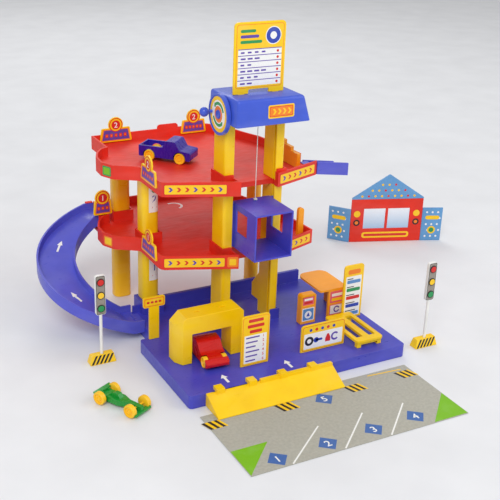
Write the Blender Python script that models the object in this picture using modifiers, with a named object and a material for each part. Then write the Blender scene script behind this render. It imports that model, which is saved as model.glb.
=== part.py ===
"""A toy parking garage with two decks, a crank lift, a curved ramp, three cars and street furniture.

Sizes are millimetres and become metres where a mesh is made. +X is the garage's right, +Y its
back and +Z up. The origin is the centre of the base plate's underside, on the table.
"""

import math

import bmesh
import bpy
from mathutils import Matrix, Vector

# General sizes
MM = 0.001
GAP = 0.3
OVERSHOOT = 1.0
BITE = 1.5
BOARD_THICKNESS = 3.0
ROUND_SIDES = 24
SHARP_ANGLE = math.radians(40)

# Base plate
BASE_WIDTH = 360.0
BASE_DEPTH = 270.0
BASE_HEIGHT = 20.0
BASE_WALL = 2.5
BASE_RIB = 12.0
BASE_CORNER = 6.0
LANDING_SETBACK = 23.0
LANDING_FRONT = 43.5
BACK_RIM_HEIGHT = 21.0
BACK_RIM_THICKNESS = 7.0
BACK_RIM_FROM_RIGHT = 30.0
FOOT_MARGIN = 5.0

# Decks
DECK_1_FLOOR = 138.0
DECK_SPACING = 114.0
DECK_SLAB = 3.0
DECK_WALL = 3.0
DECK_RIM = 14.0
DECK_DEPTH = 8.0
DECK_LEFT = -191.5
DECK_FRONT_LEFT = (-146.5, 40.0)
DECK_LEFT_BEND = (-146.5, 119.0)
DECK_RIGHT = 117.0
DECK_FRONT_RIGHT = 42.0
DECK_INNER_CORNER = 12.5
DECK_NOTCH_DEPTH = 10.0
DECK_BACK = 302.0
DECK_BACK_RIGHT_X = 54.0
DECK_BULGE_BACK = 234.0
BUMP_X = -21.0
BUMP_WIDTH = 38.0
BUMP_HEIGHT = 7.0
BUMP_ROUNDING = 5.0
EXIT_OPENING_DEPTH = 12.0

# Lift shaft and its columns
SHAFT_LEFT = -39.0
SHAFT_RIGHT = 30.5
SHAFT_FRONT = -2.0
COLUMN_WIDTH = 15.0
COLUMN_FRONT = 22.0
COLUMN_DEPTH = 36.0
COLUMN_TOP = 372.0
COLUMN_ROUNDING = 5.0
COLUMN_WALL = 2.5
COLUMN_POCKET = 14.0
GROOVE_DEPTH = 5.0
GROOVE_SETBACK = 2.4
GROOVE_WIDTH = 4.2
SOCKET_WALL = 2.5
SOCKET_HEIGHT = 18.0
PAD_MARGIN = 3.0
GUSSET_DEPTH = 22.0
GUSSET_TOP = 50.0

# Supports under the decks: left, front, width and depth
SUPPORT_FRONT_LEFT_SIZE = (27.0, 26.0)
SUPPORT_FROM_LANDING = 17.0
SUPPORT_FROM_BACK = 14.0
SUPPORT_BACK_LEFT = (-145.0, 232.0, 29.0, 20.0)
SUPPORT_BACK_RIGHT = (78.0, 172.0, 20.0, 22.0)
SUPPORT_ROUNDING = 9.0
SUPPORT_BACK_ROUNDING = 2.0

# Cabin and its string
CABIN_REST = 155.0
CABIN_SIDE_GAP = 3.5
CABIN_FRONT = -42.0
CABIN_BACK = 31.0
CABIN_HEIGHT = 71.0
CABIN_WALL = 2.5
WINDOW_FRONT = -16.0
WINDOW_BACK = 17.0
WINDOW_SILL = 27.0
WINDOW_HEIGHT = 34.0
RUNNER_REACH = 7.0
RUNNER_PLAY = 0.6
STRING_X = -3.0
STRING_RADIUS = 0.6

# Crank, axle and winch drum
AXLE_SETBACK = 7.0
AXLE_DROP = 12.0
AXLE_RADIUS = 3.0
CRANK_RADIUS = 29.7
CRANK_THICKNESS = 6.0
CRANK_BORDER = 3.0
CRANK_DISH = 1.2
CRANK_HUB_RADIUS = 6.0
CRANK_HUB_HEIGHT = 0.6
CRANK_RUNNING_GAP = 0.6
KNOB_REACH = 20.0
KNOB_RADIUS = 7.0
KNOB_PIN_RADIUS = 2.5
KNOB_PIN_LENGTH = 8.0
DRUM_RADIUS = 8.0
DRUM_FLANGE_RADIUS = 11.0
DRUM_FLANGE = 1.5
DRUM_WIDTH = 18.0

# Hood on top of the columns
HOOD_BOTTOM = 350.0
HOOD_HEIGHT = 38.0
HOOD_WALL = 2.5
HOOD_LEFT = -57.5
HOOD_RIGHT = 62.0
HOOD_FRONT = -17.0
HOOD_BACK = 72.0
HOOD_TAPER_RIGHT = 11.0
HOOD_TAPER = 1.5
HOOD_CORNER = 4.0

# Board that stands on the hood
TOP_SIGN_LEFT = -46.0
TOP_SIGN_WIDTH = 81.0
TOP_SIGN_HEIGHT = 99.7
TOP_SIGN_FRONT = 18.5
TOP_SIGN_CORNER = 6.0
TOP_SIGN_TAB_WIDTH = 10.0
TOP_SIGN_TAB_DEPTH = 7.0
TOP_SIGN_TAB_INSET = 8.0

# Curved ramp
RAMP_CENTRE_Y = 190.0
RAMP_INNER = 52.0
RAMP_OUTER = 113.0
RAMP_RUNOUT = 16.5
RAMP_FLOOR = 3.0
RAMP_WALL = 3.0
RAMP_CURB = 12.0
RAMP_SKIRT = 8.0
RAMP_STEPS = 28
TONGUE_REACH = 7.0
TONGUE_THICKNESS = 1.5
TONGUE_MARGIN = 14.0
TONGUE_ROOT = 5.0
TONGUE_TIP = 0.7
CONNECTOR_LENGTH = 12.0
CONNECTOR_WALL = 3.0
CONNECTOR_DROP = 19.0
CONNECTOR_TOP = 27.3

# Exit ramp at the right of the upper deck
EXIT_FRONT = 42.0
EXIT_WIDTH = 44.0
EXIT_LENGTH = 58.0
EXIT_FALL = 9.0
EXIT_FRONT_WALL = 12.0
EXIT_BACK_CURB = 3.0

# Entry ramp on the front of the base plate
ENTRY_FROM_LEFT = 24.0
ENTRY_WIDTH = 202.0
ENTRY_REACH = 40.0
ENTRY_TOE = 1.2
ENTRY_CREST = 3.0
ENTRY_LEDGE_START = 83.0
ENTRY_LEDGE_ROOT = 5.0
ENTRY_LEDGE_HEIGHT = 3.5
ENTRY_LEDGE_DEPTH = 6.0
HOOK_WIDTH = 12.0
HOOK_HEIGHT = 6.0
HOOK_REACH = 6.0
HOOK_START = 20.0
HOOK_PITCH = 50.0
HOOK_COUNT = 4

# Gatehouse
GATE_FROM_LEFT = 19.0
GATE_FROM_FRONT = 80.5
GATE_WIDTH = 112.5
GATE_DEPTH = 31.5
GATE_TOP = 94.0
GATE_CHAMFER = 13.0
GATE_CORNER_WIDTH = 8.0
GATE_CORNER_DEPTH = 14.0
GATE_LEFT_PIER = 22.4
GATE_RIGHT_PIER = 27.7
GATE_ARCH_TOP = 67.0
GATE_SLOT_LENGTH = 9.0
GATE_SLOT_WIDTH = 3.0
GATE_SLOT_DEPTH = 3.0
GATE_SLOT_SHARES = (0.32, 0.68)

# Boards and small buildings on the base plate
PRICE_BOARD_FROM_LEFT = 99.5
PRICE_BOARD_FROM_FRONT = 41.0
PRICE_BOARD_WIDTH = 45.0
PRICE_BOARD_TOP = 100.0
SERVICE_BOARD_FROM_RIGHT = 160.0
SERVICE_BOARD_FROM_FRONT = 41.5
SERVICE_BOARD_WIDTH = 76.0
SERVICE_BOARD_TOP = 63.5
TOTEM_FROM_RIGHT = 43.0
TOTEM_FROM_FRONT = 109.5
TOTEM_WIDTH = 36.0
TOTEM_TOP = 111.5
TOLL_FROM_LEFT = 21.7
TOLL_FROM_LANDING = 6.2
TOLL_POST_WIDTH = 16.0
TOLL_POST_TOP = 73.5
TOLL_SIGN_WIDTH = 35.0
TOLL_SIGN_HEIGHT = 16.5
PUMP_FROM_RIGHT = 113.0
PUMP_FROM_FRONT = 120.0
PUMP_WIDTH = 27.0
PUMP_DEPTH = 12.0
PUMP_TOP = 70.0
PUMP_CORNER = 4.0
PUMP_RECESS_MARGIN = 3.0
PUMP_RECESS_HEIGHT = 15.0
BOARD_CORNER = 5.0

# Car rack and service wall
RACK_FROM_RIGHT = 77.0
RACK_FROM_FRONT = 17.0
RACK_WIDTH = 47.0
RACK_DEPTH = 90.0
RACK_TOP = 33.0
RACK_PLATE = 4.0
RACK_CORNER = 4.0
RACK_LEG = 7.0
RACK_LEG_INSET = 2.0
RACK_SLOT_WIDTH = 11.0
RACK_SLOT_MARGIN = 12.0
RACK_SKIRT = 4.0
WALL_FROM_RIGHT = 60.0
WALL_FROM_FRONT = 124.5
WALL_WIDTH = 34.0
WALL_DEPTH = 72.0
WALL_THICKNESS = 4.0
WALL_TOP = 66.0
CANOPY_THICKNESS = 3.0
CANOPY_REACH = 16.0
CANOPY_ROUNDING = 14.0
CANOPY_CORNER = 3.0

# Booths on the decks
BOOTH_1_X = 103.0
BOOTH_1_Y = 60.0
BOOTH_1_WIDTH = 10.0
BOOTH_1_HEIGHT = 47.0
BOOTH_2_LEFT = 90.0
BOOTH_2_THICKNESS = 6.0
BOOTH_2_FRONT = 58.0
BOOTH_2_DEPTH = 62.0
BOOTH_2_HEIGHT = 35.0
BOOTH_2_STEP = 6.0

# Level signs clipped on the rims
LEVEL_SIGN_WIDTH = 57.0
LEVEL_SIGN_MIDDLE = 48.0
LEVEL_SIGN_NARROW = 32.0
LEVEL_SIGN_CORNER = 2.0
LEVEL_SIGN_THICKNESS = 2.7
LEVEL_SIGN_FOOT = 12.5
LEVEL_SIGN_SHOULDER = 11.0
LEVEL_SIGN_SHOULDER_SHARE = 0.86
LEVEL_SIGN_DISC = 13.0
LEVEL_SIGN_DISC_HEIGHT = 16.0
LEVEL_SIGN_HOOK = 12.0
LEVEL_SIGN_HOOK_DROP = 5.4
LEVEL_SIGN_HOOK_WALL = 2.0
SIGN_BACK_LEFT_X = -116.0
SIGN_BACK_RIGHT_X = 26.0

# Cars
WHEEL_WIDTH = 7.0
WHEEL_DISH = 1.2
ARCH_CLEARANCE = 1.5
CAR_EDGE = 2.0
CAR_BED_WALL = 3.0
CAR_AXLE_RADIUS = 1.5
AXLE_END_GAP = 0.6
RED_CAR_LENGTH = 80.0
RED_CAR_WIDTH = 36.0
RED_CAR_HEIGHT = 31.0
RED_CAR_WHEEL = 8.5
RED_CAR_WHEELBASE = 50.0
RED_CAR_FROM_GATE = (50.5, 6.5)
RED_CAR_TURN = math.radians(176.0)
BLUE_CAR_LENGTH = 87.0
BLUE_CAR_WIDTH = 36.0
BLUE_CAR_HEIGHT = 35.0
BLUE_CAR_WHEEL = 9.0
BLUE_CAR_WHEELBASE = 51.0
BLUE_CAR_BED_FLOOR = 0.43
BLUE_CAR_BED_FRONT = -0.075
BLUE_CAR_PLACE = (-75.0, 175.0)
BLUE_CAR_TURN = math.radians(-136.6)
GREEN_CAR_LENGTH = 76.0
GREEN_CAR_WIDTH = 18.0
GREEN_CAR_HEIGHT = 18.0
GREEN_CAR_WHEEL = 7.7
GREEN_CAR_WHEELBASE = 43.0
GREEN_CAR_PLACE = (-259.0, -87.0)
GREEN_CAR_TURN = math.radians(-152.1)

# Traffic lights
LIGHT_LEFT_PLACE = (-242.0, 39.0)
LIGHT_RIGHT_PLACE = (229.0, -118.0)
LIGHT_HEIGHT = 140.0
LIGHT_PANEL_WIDTH = 15.0
LIGHT_PANEL_HEIGHT = 62.0
LIGHT_PANEL_DEPTH = 5.0
LIGHT_PANEL_CORNER = 3.0
LIGHT_LENS_RADIUS = 5.2
LIGHT_LENS_DEPTH = 1.5
LIGHT_POLE_RADIUS = 2.5
LIGHT_POLE_PLAY = 0.1
LIGHT_BASE_WIDTH = 40.0
LIGHT_BASE_DEPTH = 16.0
LIGHT_BASE_HEIGHT = 14.0
LIGHT_BASE_SLOPE = 3.0
LIGHT_SOCKET = 10.0

# Folding drive-in stand
STAND_PLACE = (427.5, 257.0)
STAND_TURN = math.radians(-19.6)
STAND_WIDTH = 143.0
STAND_HEIGHT = 88.0
STAND_GABLE_HEIGHT = 50.0
STAND_GABLE_OVERHANG = 3.5
STAND_WINDOW_WIDTH = 44.0
STAND_WINDOW_HEIGHT = 42.0
STAND_WINDOW_SILL = 27.0
STAND_WINDOW_GAP = 4.0
STAND_WING_HEIGHT = 68.0
STAND_LEFT_WING = 42.8
STAND_LEFT_WING_TURN = math.radians(147.0)
STAND_RIGHT_WING = 39.0
STAND_RIGHT_WING_TURN = math.radians(-3.0)

# Printed mat in front of the entry ramp
MAT_LEFT = -175.0
MAT_RIGHT = 163.0
MAT_BACK = -157.0
MAT_FRONT = -301.0
MAT_THICKNESS = 0.6

# Places that follow from the sizes above
BASE_LEFT = -BASE_WIDTH / 2
BASE_RIGHT = BASE_WIDTH / 2
BASE_FRONT = -BASE_DEPTH / 2
BASE_BACK = BASE_DEPTH / 2
LANDING_X = BASE_LEFT + LANDING_SETBACK
ON_BASE = BASE_HEIGHT + GAP
SUPPORT_FRONT_LEFT = (LANDING_X + SUPPORT_FROM_LANDING, BASE_BACK - SUPPORT_FROM_BACK,
                      *SUPPORT_FRONT_LEFT_SIZE)
ENTRY_LEFT = BASE_LEFT + ENTRY_FROM_LEFT
GATE_LEFT = BASE_LEFT + GATE_FROM_LEFT
GATE_FRONT = BASE_FRONT + GATE_FROM_FRONT
RED_CAR_PLACE = (GATE_LEFT + RED_CAR_FROM_GATE[0], GATE_FRONT + RED_CAR_FROM_GATE[1])
TOLL_X = BASE_LEFT + TOLL_FROM_LEFT
TOLL_FRONT = LANDING_FRONT - TOLL_FROM_LANDING
PRICE_BOARD_LEFT = BASE_LEFT + PRICE_BOARD_FROM_LEFT
PRICE_BOARD_FRONT = BASE_FRONT + PRICE_BOARD_FROM_FRONT
SERVICE_BOARD_LEFT = BASE_RIGHT - SERVICE_BOARD_FROM_RIGHT
SERVICE_BOARD_FRONT = BASE_FRONT + SERVICE_BOARD_FROM_FRONT
TOTEM_LEFT = BASE_RIGHT - TOTEM_FROM_RIGHT
TOTEM_FRONT = BASE_FRONT + TOTEM_FROM_FRONT
PUMP_LEFT = BASE_RIGHT - PUMP_FROM_RIGHT
PUMP_FRONT = BASE_FRONT + PUMP_FROM_FRONT
RACK_LEFT = BASE_RIGHT - RACK_FROM_RIGHT
RACK_FRONT = BASE_FRONT + RACK_FROM_FRONT
WALL_LEFT = BASE_RIGHT - WALL_FROM_RIGHT
WALL_FRONT = BASE_FRONT + WALL_FROM_FRONT
RAMP_BEND_X = LANDING_X - GAP - RAMP_RUNOUT
DECK_2_FLOOR = DECK_1_FLOOR + DECK_SPACING
COLUMN_BACK = COLUMN_FRONT + COLUMN_DEPTH
LEFT_COLUMN = (SHAFT_LEFT - COLUMN_WIDTH, SHAFT_LEFT)
RIGHT_COLUMN = (SHAFT_RIGHT, SHAFT_RIGHT + COLUMN_WIDTH)
GROOVE_FRONT = COLUMN_FRONT + GROOVE_SETBACK
AXLE_Y = COLUMN_FRONT + AXLE_SETBACK
AXLE_Z = COLUMN_TOP - AXLE_DROP
HOOD_TOP = HOOD_BOTTOM + HOOD_HEIGHT
NOTCH_BACK = COLUMN_FRONT + DECK_NOTCH_DEPTH
RAMP_X = LANDING_X - GAP
RAMP_MOUTH_NEAR = RAMP_CENTRE_Y + RAMP_INNER
RAMP_MOUTH_FAR = RAMP_CENTRE_Y + RAMP_OUTER

# Half turns that lay a flat drawing across each axis
FACING = {
    "X": Matrix(((0, 0, 1, 0), (1, 0, 0, 0), (0, 1, 0, 0), (0, 0, 0, 1))),
    "Y": Matrix(((1, 0, 0, 0), (0, 0, -1, 0), (0, 1, 0, 0), (0, 0, 0, 1))),
    "Z": Matrix.Identity(4),
}
ALONG = {"X": Vector((1, 0, 0)), "Y": Vector((0, 1, 0)), "Z": Vector((0, 0, 1))}


# Scene and materials

def clear_scene():
    """Remove whatever the scene holds."""
    for thing in list(bpy.data.objects):
        bpy.data.objects.remove(thing, do_unlink=True)


def new_collection(name):
    """Return a new collection linked to the scene."""
    collection = bpy.data.collections.new(name)
    bpy.context.scene.collection.children.link(collection)
    return collection


def linear(channel):
    """Return the linear value of one screen colour channel from 0 to 255."""
    share = channel / 255.0
    if share <= 0.04045:
        return share / 12.92
    return ((share + 0.055) / 1.055) ** 2.4


def plastic(name, red, green, blue, roughness=0.4):
    """Return a plastic material of a screen colour."""
    material = bpy.data.materials.new(name)
    material.use_nodes = True
    shader = material.node_tree.nodes["Principled BSDF"]
    colour = (linear(red), linear(green), linear(blue), 1.0)
    shader.inputs["Base Color"].default_value = colour
    shader.inputs["Roughness"].default_value = roughness
    shader.inputs["Metallic"].default_value = 0.0
    material.diffuse_color = colour
    return material


# Shapes

def helper(mesh):
    """Return an object for a mesh, kept among the cutters until it is published."""
    shape = bpy.data.objects.new(mesh.name, mesh)
    TOOLS.objects.link(shape)
    shape.hide_render = True
    shape.display_type = "WIRE"
    return shape


def from_bmesh(name, shape):
    """Return a helper object that holds a finished bmesh."""
    mesh = bpy.data.meshes.new(name)
    shape.to_mesh(mesh)
    shape.free()
    return helper(mesh)


def box(low, high):
    """Return a box between two corners."""
    size = (Vector(high) - Vector(low)) * MM
    middle = (Vector(high) + Vector(low)) * MM / 2
    shape = bmesh.new()
    place = Matrix.Translation(middle) @ Matrix.Diagonal((*size, 1.0))
    bmesh.ops.create_cube(shape, size=1.0, matrix=place)
    return from_bmesh("box", shape)


def tapered_box(low, high, top_low, top_high):
    """Return a box whose top face is another rectangle, given by its own two corners."""
    solid = box(low, high)
    for point in solid.data.vertices:
        if point.co.z > (low[2] + high[2]) * MM / 2:
            point.co.x = (top_low[0] if point.co.x < (low[0] + high[0]) * MM / 2 else top_high[0]) * MM
            point.co.y = (top_low[1] if point.co.y < (low[1] + high[1]) * MM / 2 else top_high[1]) * MM
    return solid


def cylinder(axis, centre, radius, low, high, sides=ROUND_SIDES):
    """Return a cylinder along an axis, centred on two plane coordinates."""
    shape = bmesh.new()
    across = Matrix.Translation(Vector((centre[0], centre[1], 0)) * MM)
    place = Matrix.Translation(ALONG[axis] * (low + high) * MM / 2) @ FACING[axis] @ across
    bmesh.ops.create_cone(shape, cap_ends=True, segments=sides, radius1=radius * MM,
                          radius2=radius * MM, depth=(high - low) * MM, matrix=place)
    return from_bmesh("cylinder", shape)


def ball(centre, radius, rings=8):
    """Return a sphere."""
    shape = bmesh.new()
    place = Matrix.Translation(Vector(centre) * MM)
    bmesh.ops.create_uvsphere(shape, u_segments=2 * rings, v_segments=rings, radius=radius * MM,
                              matrix=place)
    return from_bmesh("ball", shape)


def meshed(drawing):
    """Swap a drawing or a turned profile for a closed mesh of the same shape."""
    bpy.context.view_layer.update()
    graph = bpy.context.evaluated_depsgraph_get()
    mesh = bpy.data.meshes.new_from_object(drawing.evaluated_get(graph))
    shape = bmesh.new()
    shape.from_mesh(mesh)
    bmesh.ops.remove_doubles(shape, verts=shape.verts, dist=0.01 * MM)
    open_edges = [edge for edge in shape.edges if edge.is_boundary]
    if open_edges:
        bmesh.ops.holes_fill(shape, edges=open_edges, sides=0)
    bmesh.ops.recalc_face_normals(shape, faces=shape.faces)
    shape.to_mesh(mesh)
    shape.free()
    solid = helper(mesh)
    solid.matrix_world = drawing.matrix_world.copy()
    bpy.data.objects.remove(drawing, do_unlink=True)
    return solid


def plate(axis, outline, low, high):
    """Return a flat outline that is as thick as the stretch from low to high along an axis."""
    curve = bpy.data.curves.new("outline", "CURVE")
    curve.dimensions = "2D"
    curve.fill_mode = "BOTH"
    curve.extrude = (high - low) * MM / 2
    spline = curve.splines.new("POLY")
    spline.points.add(len(outline) - 1)
    for point, corner in zip(spline.points, outline):
        point.co = (corner[0] * MM, corner[1] * MM, 0, 1)
    spline.use_cyclic_u = True
    drawing = bpy.data.objects.new("outline", curve)
    TOOLS.objects.link(drawing)
    drawing.matrix_world = Matrix.Translation(ALONG[axis] * (low + high) * MM / 2) @ FACING[axis]
    return meshed(drawing)


def turned(axis, centre, profile, sides=ROUND_SIDES):
    """Return a profile of (radius, height) points turned about an axis through two plane coordinates."""
    mesh = bpy.data.meshes.new("profile")
    points = [Vector((radius, 0, height)) * MM for radius, height in profile]
    closed = profile[0][0] > 0
    edges = [(index, index + 1) for index in range(len(points) - 1)]
    if closed:
        edges.append((len(points) - 1, 0))
    mesh.from_pydata(points, edges, [])
    drawing = bpy.data.objects.new("profile", mesh)
    TOOLS.objects.link(drawing)
    across = Matrix.Translation(Vector((centre[0], centre[1], 0)) * MM)
    drawing.matrix_world = FACING[axis] @ across
    screw = drawing.modifiers.new("turn", "SCREW")
    screw.steps = sides
    screw.render_steps = sides
    screw.use_merge_vertices = True
    screw.merge_threshold = 0.0001
    return meshed(drawing)


def rounded(corners, steps=4):
    """Return an outline in which each corner (x, y, radius) has become an arc."""
    outline = []
    for index, (x, y, radius) in enumerate(corners):
        here = Vector((x, y))
        if radius <= 0:
            outline.append(here)
            continue
        back = (Vector(corners[index - 1][:2]) - here).normalized()
        ahead = (Vector(corners[(index + 1) % len(corners)][:2]) - here).normalized()
        half = back.angle(ahead) / 2
        centre = here + (back + ahead).normalized() * radius / math.sin(half)
        start = here + back * radius / math.tan(half) - centre
        end = here + ahead * radius / math.tan(half) - centre
        first = math.atan2(start.y, start.x)
        sweep = (math.atan2(end.y, end.x) - first + math.pi) % (2 * math.pi) - math.pi
        outline += arc(centre, radius, first, first + sweep, steps)
    return outline


def arc(centre, radius, first, last, steps):
    """Return points along an arc between two angles in radians."""
    angles = [first + (last - first) * step / steps for step in range(steps + 1)]
    return [Vector((centre[0] + radius * math.cos(a), centre[1] + radius * math.sin(a))) for a in angles]


def inset(corners, distance):
    """Return anticlockwise corners (x, y, radius) moved inwards by a distance."""
    moved = []
    for index, (x, y, radius) in enumerate(corners):
        here = Vector((x, y))
        arriving = (here - Vector(corners[index - 1][:2])).normalized()
        leaving = (Vector(corners[(index + 1) % len(corners)][:2]) - here).normalized()
        inward = Vector((-arriving.y - leaving.y, arriving.x + leaving.x))
        place = here + inward * distance * 2 / inward.length_squared
        convex = arriving.cross(leaving) > 0
        new_radius = max(radius - distance, 0) if convex or radius == 0 else radius + distance
        moved.append((place.x, place.y, new_radius))
    return moved


def rectangle(left, low, width, height, radius=0.0):
    """Return the corners of a rectangle with one corner radius."""
    right = left + width
    high = low + height
    return [(left, low, radius), (right, low, radius), (right, high, radius), (left, high, radius)]


def bevel(solid, width, segments, wanted):
    """Round the sharp edges whose two ends satisfy a test on their positions in millimetres."""
    shape = bmesh.new()
    shape.from_mesh(solid.data)
    sharp = [edge for edge in shape.edges if edge.calc_face_angle(0) > SHARP_ANGLE]
    edges = [edge for edge in sharp if wanted(edge.verts[0].co / MM, edge.verts[1].co / MM)]
    bmesh.ops.bevel(shape, geom=edges, offset=width * MM, segments=segments, affect="EDGES", profile=0.5)
    shape.to_mesh(solid.data)
    shape.free()
    return solid


def combine(solid, tools, operation):
    """Add Boolean modifiers that combine a solid with its tools."""
    for tool in tools:
        modifier = solid.modifiers.new(operation.lower(), "BOOLEAN")
        modifier.operation = operation
        modifier.solver = "EXACT"
        modifier.object = tool
    return solid


def cut(solid, *tools):
    """Cut tools out of a solid."""
    return combine(solid, tools, "DIFFERENCE")


def join(solid, *tools):
    """Join tools to a solid."""
    return combine(solid, tools, "UNION")


def publish(name, solid, material, pivot=(0, 0, 0), smooth=False):
    """Make a helper a named part of the toy, with its origin on a pivot."""
    place = Matrix.Translation(Vector(pivot) * MM)
    solid.data.transform(place.inverted() @ solid.matrix_world)
    solid.matrix_world = place
    solid.name = name
    solid.data.name = name
    TOOLS.objects.unlink(solid)
    PARTS.objects.link(solid)
    solid.hide_render = False
    solid.display_type = "TEXTURED"
    solid.data.materials.clear()
    solid.data.materials.append(material)
    if smooth:
        solid.data.shade_smooth()
        solid.data.set_sharp_from_angle(angle=SHARP_ANGLE)
    return solid


class Assembly:
    """An empty that carries every object made inside its with block, turned by radians."""

    def __init__(self, name, place, turn):
        self.empty = bpy.data.objects.new(name, None)
        PARTS.objects.link(self.empty)
        self.empty.location = Vector(place) * MM
        self.empty.rotation_euler = (0, 0, turn)

    def __enter__(self):
        self.before = set(bpy.data.objects)
        return self

    def __exit__(self, *problem):
        for thing in bpy.data.objects:
            if thing not in self.before:
                thing.parent = self.empty


# Base plate

def footprint(column, margin, low, high, deeper=0.0):
    """Return a box round a lift column's foot."""
    front = COLUMN_FRONT - margin
    back = COLUMN_BACK + margin + deeper
    return box((column[0] - margin, front, low), (column[1] + margin, back, high))


def shaft_sockets(solid, floor):
    """Add the open sockets that hold the two lift columns on a floor."""
    low = floor - BITE
    high = floor + SOCKET_HEIGHT
    wall = GAP + SOCKET_WALL
    front = COLUMN_FRONT - wall
    back = COLUMN_BACK + wall
    left = box((LEFT_COLUMN[0] - wall, front, low), (SHAFT_LEFT - BITE, back, high))
    right = box((SHAFT_RIGHT + BITE, front, low), (RIGHT_COLUMN[1] + wall, back, high))
    join(solid, left, right)
    for column in (LEFT_COLUMN, RIGHT_COLUMN):
        cut(solid, footprint(column, GAP, floor, high + OVERSHOOT))
    open_left = box((SHAFT_LEFT - BITE, COLUMN_FRONT - GAP, floor), (SHAFT_LEFT + BITE, COLUMN_BACK + GAP,
                                                                     high + OVERSHOOT))
    open_right = box((SHAFT_RIGHT - BITE, COLUMN_FRONT - GAP, floor), (SHAFT_RIGHT + BITE, COLUMN_BACK + GAP,
                                                                       high + OVERSHOOT))
    return cut(solid, open_left, open_right)


def build_base(blue):
    """Build the ribbed tray with its back rim, column sockets and the foot of a support."""
    outline = rounded([
        (BASE_LEFT, BASE_FRONT, BASE_CORNER), (BASE_RIGHT, BASE_FRONT, BASE_CORNER),
        (BASE_RIGHT, BASE_BACK, BASE_CORNER), (LANDING_X, BASE_BACK, 0),
        (LANDING_X, LANDING_FRONT, 0), (BASE_LEFT, LANDING_FRONT, BASE_CORNER),
    ])
    solid = plate("Z", outline, 0, BASE_HEIGHT)
    ceiling = BASE_HEIGHT - BASE_WALL
    half_rib = BASE_RIB / 2
    for pocket_left, pocket_right, back_left in (
            (BASE_LEFT + BASE_WALL, -half_rib, LANDING_X + BASE_WALL),
            (half_rib, BASE_RIGHT - BASE_WALL, half_rib)):
        cut(solid, box((pocket_left, BASE_FRONT + BASE_WALL, -OVERSHOOT),
                       (pocket_right, -half_rib, ceiling)))
        cut(solid, box((back_left, half_rib, -OVERSHOOT), (pocket_right, BASE_BACK - BASE_WALL, ceiling)))
    rim_front = BASE_BACK - BACK_RIM_THICKNESS
    rim_top = BASE_HEIGHT + BACK_RIM_HEIGHT
    left, front, width, depth = SUPPORT_FRONT_LEFT
    join(solid, box((left, rim_front, BASE_HEIGHT - BITE),
                    (BASE_RIGHT - BACK_RIM_FROM_RIGHT, BASE_BACK - OVERSHOOT, rim_top)))
    join(solid, box((LANDING_X + OVERSHOOT, rim_front + OVERSHOOT, BASE_HEIGHT - BITE),
                    (left, BASE_BACK - 2 * OVERSHOOT, BASE_HEIGHT + RAMP_CURB)))
    join(solid, box((left - FOOT_MARGIN, front - FOOT_MARGIN - 1, 0),
                    (left + width + FOOT_MARGIN, front + depth + FOOT_MARGIN, rim_top)))
    shaft_sockets(solid, BASE_HEIGHT)
    publish("base_plate", solid, blue)


# Decks

def deck_outline():
    """Return the anticlockwise corners of a deck as (x, y, radius)."""
    return [
        (*DECK_FRONT_LEFT, 10.0), (SHAFT_LEFT, SHAFT_FRONT, 0), (SHAFT_LEFT, NOTCH_BACK, 0),
        (SHAFT_RIGHT, NOTCH_BACK, 0), (SHAFT_RIGHT, DECK_INNER_CORNER, 0),
        (DECK_RIGHT, DECK_FRONT_RIGHT, 4.0),
        (112.0, 120.0, 10.0), (101.0, 197.0, 10.0), (90.0, 225.0, 10.0), (80.0, 258.0, 10.0),
        (DECK_BACK_RIGHT_X, DECK_BACK, 6.0), (LANDING_X, DECK_BACK, 0), (LANDING_X, DECK_BULGE_BACK, 0),
        (-168.0, 230.0, 6.0), (-181.0, 212.0, 8.0), (-190.0, 190.0, 12.0), (DECK_LEFT, 163.0, 12.0),
        (-181.0, 141.0, 8.0), (*DECK_LEFT_BEND, 8.0),
    ]


def support_socket(place, margin, low, high):
    """Return a box round a support's foot."""
    left, front, width, depth = place
    return box((left - margin, front - margin, low), (left + width + margin, front + depth + margin, high))


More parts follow.
